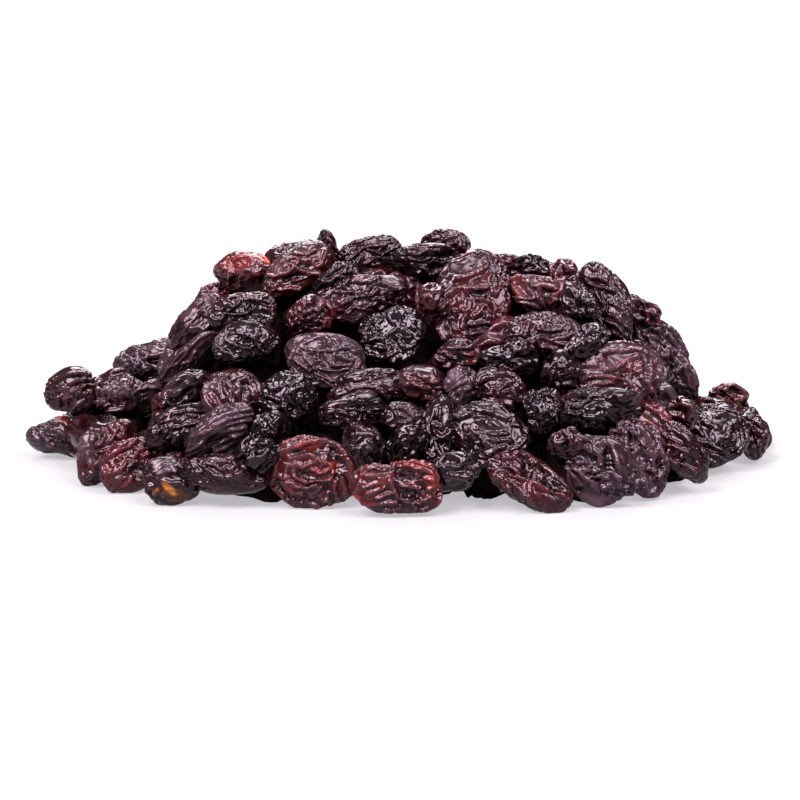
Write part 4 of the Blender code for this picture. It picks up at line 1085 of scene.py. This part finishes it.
class Skin:
    """Closed net of triangles that many raisins share.

    Places are arrays of (3, points, raisins).
    """

    def __init__(self, faces, count):
        self.faces = faces
        self.count = count
        near = [set() for _ in range(count)]
        for a, b, c in faces.tolist():
            near[a].update((b, c))
            near[b].update((c, a))
            near[c].update((a, b))
        self.near = np.zeros((NEIGHBOURS, count), int)
        self.weight = np.ones((NEIGHBOURS, count, 1), np.float32)
        for index, others in enumerate(near):
            others = sorted(others)
            if len(others) < NEIGHBOURS:
                others.append(others[0])
                self.weight[-1, index] = 0.0
            self.near[:, index] = others
        self.share = 1.0 / self.weight.sum(axis=0)
        corners = faces.reshape(-1)
        order = np.argsort(corners, kind="stable")
        self.face_order = order // 3
        self.face_starts = np.searchsorted(corners[order], np.arange(count))

    def normals(self, places):
        """Unit normal of the net at each point."""
        a, b, c = (places[:, self.faces[:, corner]] for corner in range(3))
        u = b - a
        v = c - a
        cross = np.stack((
            u[1] * v[2] - u[2] * v[1],
            u[2] * v[0] - u[0] * v[2],
            u[0] * v[1] - u[1] * v[0],
        ))
        sums = np.stack([
            np.add.reduceat(part[self.face_order], self.face_starts, axis=0) for part in cross
        ])
        return sums / np.sqrt((sums * sums).sum(axis=0))

    def mean_near(self, values):
        """Mean of the neighbours' values at each point."""
        total = sum(np.take(values, near, axis=-2) * w for near, w in zip(self.near, self.weight))
        return total * self.share

    def smooth(self, values, times, share):
        """Moves the values a share of the way to their neighbours' mean, a number of times."""
        for _ in range(times):
            values = values + share * (self.mean_near(values) - values)
        return values

    def wrinkle(self, start, ground, swell, lengthwise, gap, inward, steps):
        """Lets the skin buckle on its ground form as its area grows by the share swell.

        lengthwise and gap, the distance from fold to fold, have one value for each raisin, and
        swell may have one for each point too.
        """
        normals = self.normals(ground)
        rest = []
        for near in self.near:
            side = ground[:, near] - ground
            length = np.sqrt((side * side).sum(axis=0))
            along = (side[0] / length) ** 2
            rest.append((length, swell * (1.0 + lengthwise * (1.0 - 2.0 * along))))
        spacing = sum(length for length, _ in rest).mean(axis=0) / len(rest)
        # A mean of neighbours differs from a point by the curvature times spacing**2 / 4. Bending counts
        # that twice over, and the folds come out at the gap where the flesh's hold balances it.
        hold_out = BEND / 4**2 * (2 * math.pi * spacing / gap) ** 4
        places = start
        for step in range(steps):
            grown = min(1.0, (step + 1) / (RAMP * steps))
            pull = np.zeros_like(places)
            spread = np.zeros_like(places)
            for near, weight, (length, swelling) in zip(self.near, self.weight, rest):
                side = np.take(places, near, axis=1)
                side -= places
                now = np.sqrt(np.einsum("kpr,kpr->pr", side, side)) + NO_LENGTH
                spread += side * weight
                side *= (1.0 - length * (1.0 + swelling * grown) / now) * weight
                pull += side
            spread *= self.share
            stiff = self.mean_near(spread) - spread
            outside = ((ground - places) * normals).sum(axis=0)
            hold = np.where(outside > 0.0, hold_out * inward, hold_out) * outside
            places = places + (PULL * self.share) * pull - BEND * stiff + hold * normals
        return places


def wave_field(directions, draw, size, least, greatest):
    """Small uneven heights over a sphere, made of plain waves."""
    field = np.zeros(len(directions))
    for _ in range(SEED_WAVES):
        axis = draw.normal(size=3)
        axis /= np.linalg.norm(axis)
        field += np.sin(draw.uniform(least, greatest) * directions @ axis + draw.uniform(0, WAVE_TURN))
    return size * field / math.sqrt(SEED_WAVES / 2)


def flat_sides(directions, draw):
    """Radial scale of a ball with a few flat sides, in each unit direction."""
    total = np.ones(len(directions))
    for _ in range(FLAT_SIDES):
        facing = draw.normal(size=3)
        facing /= np.linalg.norm(facing)
        reach = draw.uniform(*FLAT_REACH)
        total += (np.maximum(directions @ facing, 0.0) / reach) ** FLAT_SHARPNESS
    return total ** (-1.0 / FLAT_SHARPNESS)


def measured(members, name):
    """One measure of the kind of folds of each raisin."""
    column = FOLD_MEASURES.index(name)
    return np.array([FOLDS[folds][column] for _, _, folds in members], np.float32)


def uneven_heights(directions, draws, seed):
    """Small uneven heights over each raisin, which its folds start from."""
    fields = [wave_field(directions, draw, *seed) for draw in draws]
    return np.stack(fields, axis=1).astype(np.float32)


def halved(values, edges):
    """The values at the points, followed by those half way along the edges."""
    middles = (values[..., edges[:, 0], :] + values[..., edges[:, 1], :]) / 2
    return np.concatenate([values, middles], axis=-2)


def wrinkle_raisins(members, frequency):
    """Wrinkled skins of many raisins, in their own frames.

    members has (index, raisin, folds) for each. Returns the net, the places, those before folding
    that the grain follows, the sharpness of the crests and the heights over the broad folds.
    """
    directions, faces = geodesic(frequency)
    net = Skin(faces, len(directions))
    draws = [np.random.RandomState(SKIN_SEED + index) for index, _, _ in members]
    lengthwise = measured(members, "lengthwise")
    share = 1.0

    forms = [
        raisin_form(directions, index)[:, None] * directions * raisin[2]
        for index, raisin, _ in members
    ]
    unfolded = np.stack(forms, axis=2).transpose(1, 0, 2).astype(np.float32)
    low = unfolded.min(axis=1)
    high = unfolded.max(axis=1)
    full = high - low
    middle = (high + low) / 2
    flattened = np.stack([flat_sides(directions, draw) for draw in draws], axis=1) - 1.0
    ground = unfolded * (1.0 + measured(members, "flat") * flattened).astype(np.float32)

    start = ground + net.normals(ground) * uneven_heights(directions, draws, BROAD_SEED)
    broad = net.wrinkle(
        start, ground, measured(members, "broad"), lengthwise, measured(members, "broad_gap"),
        BROAD_INWARD, int(BROAD_STEPS * share),
    )

    fine_faces, edges = halve(faces, len(directions))
    net = Skin(fine_faces, len(directions) + len(edges))
    uneven = np.stack([wave_field(directions, draw, 1.0, *UNEVEN_COUNTS) for draw in draws], axis=1)
    uneven = np.clip(1.0 + UNEVEN * uneven, *UNEVEN_LIMITS).astype(np.float32)
    plain = net.smooth(halved(broad, edges), *GROUND_ROUNDING)
    directions = halved(directions, edges)
    directions /= np.linalg.norm(directions, axis=1)[:, None]
    normals = net.normals(plain)
    ground = plain + normals * main_folds(members, plain, normals)
    normals = net.normals(ground)
    start = ground + normals * uneven_heights(directions, draws, FINE_SEED)
    fine = net.wrinkle(
        start, ground, measured(members, "fine") * halved(uneven, edges), lengthwise,
        measured(members, "fine_gap"), FINE_INWARD, int(FINE_STEPS * share),
    )

    heights = ((fine - plain) * normals).sum(axis=0)
    fine += SHARPEN * (fine - net.smooth(fine, *SHARPEN_ROUNDING))
    bent = fine - net.smooth(fine, 1, 1.0)
    crests = (bent * net.normals(fine)).sum(axis=0)
    low = fine.min(axis=1)
    high = fine.max(axis=1)
    fine = (fine - ((low + high) / 2)[:, None]) * (full / (high - low))[:, None] + middle[:, None]
    stretch = np.ones((3, 1, len(members)), np.float32)
    stretch[0, 0] = 1.0 - LENGTHWISE_GRAIN * lengthwise
    return net, fine, halved(unfolded, edges) * stretch, crests, heights


def main_folds(members, places, normals):
    """Heights of the main folds at each point of the raisins, in mm; they run out at the sides."""
    toward = sight_frame()[1]
    least, span = FOLD_FADE
    heights = np.zeros(places.shape[1:], np.float32)
    for slot, (index, (centre, axes, _), _) in enumerate(members):
        seen = np.stack(seen_places(places[:, :, slot].T.astype(float) @ axes + centre), axis=1)
        facing = np.abs(axes @ toward @ normals[:, :, slot])
        shown = np.clip((facing - least) / span, 0.0, 1.0)
        for row, height, width, lines in MAIN_FOLDS:
            if row == index:
                away = np.min([line_distance(seen, line) for line in lines], axis=0)
                heights[:, slot] += FOLD_RISE * height * shown * np.exp(-away / (FOLD_WIDTH * width))
        for row, depth, width, line in HOLLOWS:
            if row == index:
                away = line_distance(seen, line)
                heights[:, slot] -= FOLD_RISE * depth * shown * np.exp(-(away / width) ** 2)
    return heights


def line_distance(places, line):
    """Distance from each place to the line through the given points."""
    nearest = np.full(len(places), np.inf)
    points = np.array(line).reshape(-1, 2)
    for first, second in zip(points[:-1], points[1:]):
        way = second - first
        share = np.clip((places - first) @ way / way.dot(way), 0.0, 1.0)
        nearest = np.minimum(nearest, np.linalg.norm(places - first - share[:, None] * way, axis=1))
    return nearest


def seen_places(places):
    """(across, up) of many points as they show from the viewpoint."""
    eye, toward, right, upward = sight_frame()
    offset = places - eye
    scale = SIGHT_DISTANCE / -(offset @ toward)
    return offset @ right * scale, offset @ upward * scale + SIGHT_LEVEL


def layout_offset(raisins):
    """Step from the layout's frame to the solid's, in mm: both boxes have the same middle."""
    directions, _ = geodesic(2 ** (RAISIN_SUBDIVISIONS - 1))
    points = np.concatenate([
        raisin_form(directions, index)[:, None] * directions * halves @ axes + centre
        for index, (centre, axes, halves) in enumerate(raisins)
    ])
    low, high = (np.array(corner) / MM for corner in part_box(NODE))
    offset = (low + high) / 2 - (points.min(axis=0) + points.max(axis=0)) / 2
    return np.array((offset[0], offset[1], 0.0))


def pick(draw, shares):
    """One of the names, drawn by their shares."""
    roll = draw.random() * sum(share for _, share in shares)
    for name, share in shares:
        roll -= share
        if roll <= 0.0:
            return name
    return shares[-1][0]


def mesh_piece(name, places, faces, attributes, material):
    """A smooth-shaded mesh object from arrays, with named values at its points."""
    mesh = bpy.data.meshes.new(name)
    mesh.vertices.add(len(places))
    mesh.vertices.foreach_set("co", (places * MM).astype(np.float32).ravel())
    mesh.loops.add(faces.size)
    mesh.loops.foreach_set("vertex_index", faces.ravel().astype(np.int32))
    mesh.polygons.add(len(faces))
    mesh.polygons.foreach_set("loop_start", np.arange(0, faces.size, 3, dtype=np.int32))
    mesh.update(calc_edges=True)
    mesh.validate()
    for label, values in attributes.items():
        kind, entry = ("FLOAT_VECTOR", "vector") if values.ndim == 2 else ("FLOAT", "value")
        layer = mesh.attributes.new(label, kind, "POINT")
        layer.data.foreach_set(entry, values.astype(np.float32).ravel())
    mesh.shade_smooth()
    mesh.materials.append(material)
    piece = bpy.data.objects.new(name, mesh)
    bpy.context.scene.collection.objects.link(piece)
    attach(piece, "root")
    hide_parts(NODE)
    return piece


def mark_strength(row, places):
    """How strongly each point of a raisin belongs to a spot of another colour."""
    strength = np.zeros(len(places))
    across, up = seen_places(places)
    toward = sight_frame()[1]
    facing = (places - places.mean(axis=0)) @ toward > 0.0
    for marked, at_across, at_up, half_length, half_width, lean, most in MARKS:
        if marked == row:
            turn = math.radians(lean)
            along = (across - at_across) * math.cos(turn) + (up - at_up) * math.sin(turn)
            aside = (up - at_up) * math.cos(turn) - (across - at_across) * math.sin(turn)
            away = np.hypot(along / half_length, aside / half_width)
            covered = np.clip(MARK_SHARPNESS * (MARK_REACH - away), 0.0, 1.0) * facing
            strength = np.maximum(strength, most * covered)
    return strength


def inner_raisins():
    """Raisins deeper in the heap."""
    draw = random.Random(INNER_SEED)
    found = []
    for _ in range(INNER_TRIES):
        raisin = strewn_raisin(draw)
        if raisin is None:
            continue
        centre, axes, halves = raisin
        centre = centre - mound_normal(centre[0], centre[1]) * INNER_DEPTH
        if centre[2] > INNER_LOWEST and lies_clear((centre, axes, halves), found, INNER_GAP_SHARE):
            found.append((centre, axes, halves))
    return found


def group_raisins(raisins, count):
    """The indices of the raisins in each group; count is how many there are without the inner ones."""
    groups = {name: [] for name in FREQUENCIES}
    for index, (_, _, halves) in enumerate(raisins):
        if index < len(SEEN_RAISINS):
            name = "front_large" if 2 * halves.max() > LARGE_LENGTH else "front_small"
        else:
            name = "strewn" if index < count else "inner"
        groups[name].append(index)
    return groups


def gather(members, wrinkled, tones, slots):
    """(places, triangles, named values) of the raisins in these slots, as one mesh."""
    net, skins, unfolded, crests, heights = wrinkled
    places = []
    faces = []
    values = {"crest": [], "fine": [], "tone": [], "mark": [], "unfolded": []}
    for slot in slots:
        index, (centre, axes, _), _ = members[slot]
        at = skins[:, :, slot].T.astype(float) @ axes + centre
        at[:, 2] = np.maximum(at[:, 2], 0.0)
        values["crest"].append(crests[:, slot])
        values["fine"].append(heights[:, slot])
        values["tone"].append(np.full(net.count, tones[slot]))
        values["mark"].append(mark_strength(index, at))
        values["unfolded"].append(unfolded[:, :, slot].T * MM + index * GRAIN_STEP)
        faces.append(net.faces + net.count * len(places))
        places.append(at)
    joined = {label: np.concatenate(parts) for label, parts in values.items()}
    return np.concatenate(places), np.concatenate(faces), joined


def build_raisins(raisins, groups, kinds, folds, offset):
    """All the raisins, as one piece for each kind of skin in each group."""
    draw = random.Random(KIND_SEED)
    skins = {kind: skin_material(kind, *look) for kind, look in SKINS.items()}
    shade = shade_material()
    for group, indices in groups.items():
        members = [(index, raisins[index], folds[index]) for index in indices]
        wrinkled = wrinkle_raisins(members, FREQUENCIES[group])
        tones = [draw.random() for _ in indices]
        for kind in SKINS:
            slots = [slot for slot, index in enumerate(indices) if kinds[index] == kind]
            if not slots:
                continue
            places, faces, values = gather(members, wrinkled, tones, slots)
            # The inner raisins get the painted shade instead of their skin.
            if group == "inner":
                mesh_piece(f"{kind}_raisins_{group}", places + offset, faces, {}, shade)
            else:
                mesh_piece(f"{kind}_raisins_{group}", places + offset, faces, values, skins[kind])


def opaque(colour):
    """A colour with its opacity."""
    return (*colour, 1.0)


def skin_material(kind, colours, finish):
    """Raisin skin of one kind, from its colours and its finish."""
    deep, plain, patch, ridge_colour_and_highlight = colours
    rough, bloom, glow, spot = finish
    material = bpy.data.materials.new(f"{kind}_skin")
    material.use_nodes = True
    tree = material.node_tree
    nodes = tree.nodes
    link = tree.links.new
    shader = nodes["Principled BSDF"]
    unfolded = nodes.new("ShaderNodeAttribute")
    unfolded.attribute_name = "unfolded"

    def value(label):
        """A value named at the points of the mesh."""
        node = nodes.new("ShaderNodeAttribute")
        node.attribute_name = label
        return node.outputs["Fac"]

    def ranged(source, low, high, to_low=0.0, to_high=1.0):
        """The source, stretched from one range to another and kept inside it."""
        node = nodes.new("ShaderNodeMapRange")
        node.inputs["From Min"].default_value = low
        node.inputs["From Max"].default_value = high
        node.inputs["To Min"].default_value = to_low
        node.inputs["To Max"].default_value = to_high
        link(source, node.inputs["Value"])
        return node.outputs["Result"]

    def noise(scale, detail, distortion):
        """Soft noise that follows the skin as it lay before it folded."""
        node = nodes.new("ShaderNodeTexNoise")
        node.inputs["Scale"].default_value = scale
        node.inputs["Detail"].default_value = detail
        node.inputs["Distortion"].default_value = distortion
        link(unfolded.outputs["Vector"], node.inputs["Vector"])
        return node.outputs["Fac"]

    def combined(first, second, operation):
        """Two values or sockets, taken together by a sum of this kind."""
        node = nodes.new("ShaderNodeMath")
        node.operation = operation
        for slot, source in enumerate((first, second)):
            if isinstance(source, float):
                node.inputs[slot].default_value = source
            else:
                link(source, node.inputs[slot])
        return node.outputs["Value"]

    def lines(pattern, half_width):
        """Thin winding lines, 1 on a line and 0 beside it."""
        beside = combined(combined(noise(*pattern), 0.5, "SUBTRACT"), 0.0, "ABSOLUTE")
        return ranged(beside, 0.0, half_width, 1.0, 0.0)

    def mixed(factor, first, second):
        """Two colours or sockets, mixed by the factor."""
        node = nodes.new("ShaderNodeMix")
        node.data_type = "RGBA"
        link(factor, node.inputs["Factor"])
        for slot, colour in zip(COLOUR_INPUTS, (first, second)):
            if isinstance(colour, tuple):
                node.inputs[slot].default_value = opaque(colour)
            else:
                link(colour, node.inputs[slot])
        return node.outputs[COLOUR_OUTPUT]

    crest = ranged(value("crest"), *CREST_RANGE)
    # Mask of the painted shade in the folds: 0, full shade, where the skin lies low under its broad folds.
    flat = ranged(value("fine"), *CREASE_SHADE_RANGE)
    tone = combined(value("tone"), TONE_SHARE, "MULTIPLY")
    warm = ranged(combined(noise(*PATCH_NOISE), tone, "ADD"), *WARM_RANGE)
    # Mask of the waxy bloom, which also paints a sheen on the skin.
    bloom_and_sheen = combined(ranged(noise(*BLOOM_AND_SHEEN_NOISE), *BLOOM_AND_SHEEN_RANGE), bloom, "MULTIPLY")
    broken = ranged(noise(*BREAK_NOISE), *BREAK_RANGE)
    winding = combined(lines(LINE_NOISE, LINE_HALF_WIDTH), broken, "MULTIPLY")
    # Masks of the lighter crests and winding lines: partly the skin's own thin, rubbed colour, partly a
    # painted highlight.
    crest_colour_and_highlight_mask = combined(crest, CREST_SHARE, "MULTIPLY")
    line_colour_and_highlight_mask = combined(winding, LINE_SHARE, "MULTIPLY")

    # Painted shade: the colour goes to near-black where the skin lies low in its folds.
    body = mixed(flat, deep, mixed(warm, plain, patch))
    # Waxy bloom in patches, partly the skin's own colour and partly a painted sheen.
    body = mixed(bloom_and_sheen, body, BLOOM_AND_SHEEN_COLOUR)
    # Crests and lines are lighter, partly as the skin's own colour and partly as a painted highlight.
    body = mixed(combined(crest_colour_and_highlight_mask, line_colour_and_highlight_mask, "MAXIMUM"), body, ridge_colour_and_highlight)
    body = mixed(value("mark"), body, spot)
    link(body, shader.inputs["Base Color"])

    dull = combined(noise(*GLOSS_NOISE), combined(bloom_and_sheen, BLOOM_GLOSS_SHARE, "MULTIPLY"), "ADD")
    dull = ranged(dull, *GLOSS_RANGE, rough + ROUGH_SPREAD[0], rough + ROUGH_SPREAD[1])
    polished = ranged(combined(crest, winding, "MAXIMUM"), 0.0, 1.0, 1.0, POLISHED)
    link(combined(dull, polished, "MULTIPLY"), shader.inputs["Roughness"])
    shader.inputs["IOR"].default_value = SKIN_IOR
    shader.inputs["Specular Tint"].default_value = opaque(SKIN_SHEEN_TINT)
    shader.inputs["Coat Weight"].default_value = COAT_WEIGHT
    shader.inputs["Coat Roughness"].default_value = COAT_ROUGHNESS
    if glow > 0.0:
        shader.inputs["Subsurface Weight"].default_value = glow
        shader.inputs["Subsurface Radius"].default_value = PASSING_RADIUS
        shader.inputs["Subsurface Scale"].default_value = PASSING_SCALE

    finest = combined(lines(FINE_LINE_NOISE, FINE_LINE_HALF_WIDTH), FINE_LINE_SHARE, "MULTIPLY")
    creases = nodes.new("ShaderNodeBump")
    creases.inputs["Strength"].default_value = 1.0
    creases.inputs["Distance"].default_value = LINE_DEPTH
    link(combined(winding, finest, "ADD"), creases.inputs["Height"])
    link(creases.outputs["Normal"], shader.inputs["Normal"])
    return material


def shade_material():
    """Painted shade for what little is seen between the raisins: nearly black and dull."""
    material = bpy.data.materials.new("painted_shade_between")
    material.use_nodes = True
    shader = material.node_tree.nodes["Principled BSDF"]
    shader.inputs["Base Color"].default_value = opaque(PAINTED_SHADE_COLOUR)
    shader.inputs["Roughness"].default_value = DARK_ROUGHNESS
    shader.inputs["Specular IOR Level"].default_value = DARK_SHINE
    return material


def build_core(offset):
    """Heap of skins deep between the raisins, painted near-black as shade."""
    directions, faces = geodesic(CORE_FREQUENCY)
    lumps = wave_field(directions, np.random.RandomState(CORE_SEED), *CORE_LUMPS)
    places = []
    for direction, lump in zip(directions, lumps):
        heading = math.atan2(direction[1], direction[0])
        radius = math.hypot(direction[0], direction[1]) * core_reach(heading) * CORE_REACH_SHARE
        x = radius * math.cos(heading)
        y = radius * math.sin(heading)
        height = core_height(x, y) + lump - CORE_DROP
        places.append((x, y, max(height, CORE_LEAST) if direction[2] > 0.0 else 0.0))
    mesh_piece("raisins_deep_inside", np.array(places) + offset, faces, {}, shade_material())


def build_stage():
    """The white table that the heap lies on."""
    mesh = bpy.data.meshes.new("floor")
    corners = [(x * TABLE_REACH, y * TABLE_REACH, 0.0) for x, y in ((-1, -1), (1, -1), (1, 1), (-1, 1))]
    mesh.from_pydata(corners, [], [(0, 1, 2, 3)])
    floor = bpy.data.objects.new("floor", mesh)
    bpy.context.scene.collection.objects.link(floor)
    material = bpy.data.materials.new("white_table")
    material.use_nodes = True
    shader = material.node_tree.nodes["Principled BSDF"]
    shader.inputs["Base Color"].default_value = opaque(TABLE_COLOUR)
    shader.inputs["Roughness"].default_value = TABLE_ROUGHNESS
    shader.inputs["Specular IOR Level"].default_value = 0.0
    shader.inputs["Emission Color"].default_value = opaque(TABLE_GLOW)
    shader.inputs["Emission Strength"].default_value = TABLE_GLOW_STRENGTH
    mesh.materials.append(material)


def add_sun(name, heading, height, angle, strength, colour):
    """A wide soft light that shines from a heading and a height, in degrees."""
    light = bpy.data.lights.new(name, "SUN")
    light.energy = strength
    light.angle = math.radians(angle)
    light.color = colour
    sun = bpy.data.objects.new(name, light)
    turn = math.radians(heading)
    rise = math.radians(height)
    level = math.cos(rise)
    way = Vector((math.sin(turn) * level, -math.cos(turn) * level, math.sin(rise)))
    sun.rotation_euler = way.to_track_quat("Z", "Y").to_euler()
    bpy.context.scene.collection.objects.link(sun)


def build_light():
    """The soft lights, and a room that is dark near the ground and pale overhead."""
    for sun in SUNS:
        add_sun(*sun)
    world = bpy.data.worlds.new("studio")
    bpy.context.scene.world = world
    world.use_nodes = True
    tree = world.node_tree
    coordinates = tree.nodes.new("ShaderNodeTexCoord")
    split = tree.nodes.new("ShaderNodeSeparateXYZ")
    ramp = tree.nodes.new("ShaderNodeValToRGB")
    for stop, (position, colour) in zip(ramp.color_ramp.elements, (ROOM_LOW, ROOM_HIGH)):
        stop.position = position
        stop.color = opaque(colour)
    background = tree.nodes["Background"]
    background.inputs["Strength"].default_value = 1.0
    tree.links.new(coordinates.outputs["Generated"], split.inputs["Vector"])
    tree.links.new(split.outputs["Z"], ramp.inputs["Fac"])
    tree.links.new(ramp.outputs["Color"], background.inputs["Color"])


def build_camera(offset):
    """The camera, at the viewpoint of the photograph."""
    eye, toward, _, _ = sight_frame()
    camera = bpy.data.objects.new("camera", bpy.data.cameras.new("camera"))
    camera.location = Vector((eye + offset) * MM)
    camera.rotation_euler = Vector(toward).to_track_quat("Z", "Y").to_euler()
    camera.data.sensor_width = SENSOR_WIDTH
    camera.data.lens = SENSOR_WIDTH * SIGHT_DISTANCE / VIEW_WIDTH
    camera.data.clip_start = NEAR_LIMIT
    bpy.context.scene.collection.objects.link(camera)
    bpy.context.scene.camera = camera


def main():
    """Lays out the heap, builds its pieces and sets up the studio."""
    raisins = lay_out_raisins()
    offset = layout_offset(raisins)
    count = len(raisins)
    raisins += inner_raisins()
    draw = random.Random(KIND_SEED)
    kinds = [kind for *_, kind, _ in SEEN_RAISINS]
    folds = [fold for *_, fold in SEEN_RAISINS]
    for _ in raisins[len(SEEN_RAISINS):]:
        kinds.append(pick(draw, STREWN_KINDS))
        folds.append(pick(draw, STREWN_FOLDS))
    build_raisins(raisins, group_raisins(raisins, count), kinds, folds, offset)
    build_core(offset)
    build_stage()
    build_light()
    build_camera(offset)
    bpy.context.scene.view_settings.view_transform = "Standard"


main()
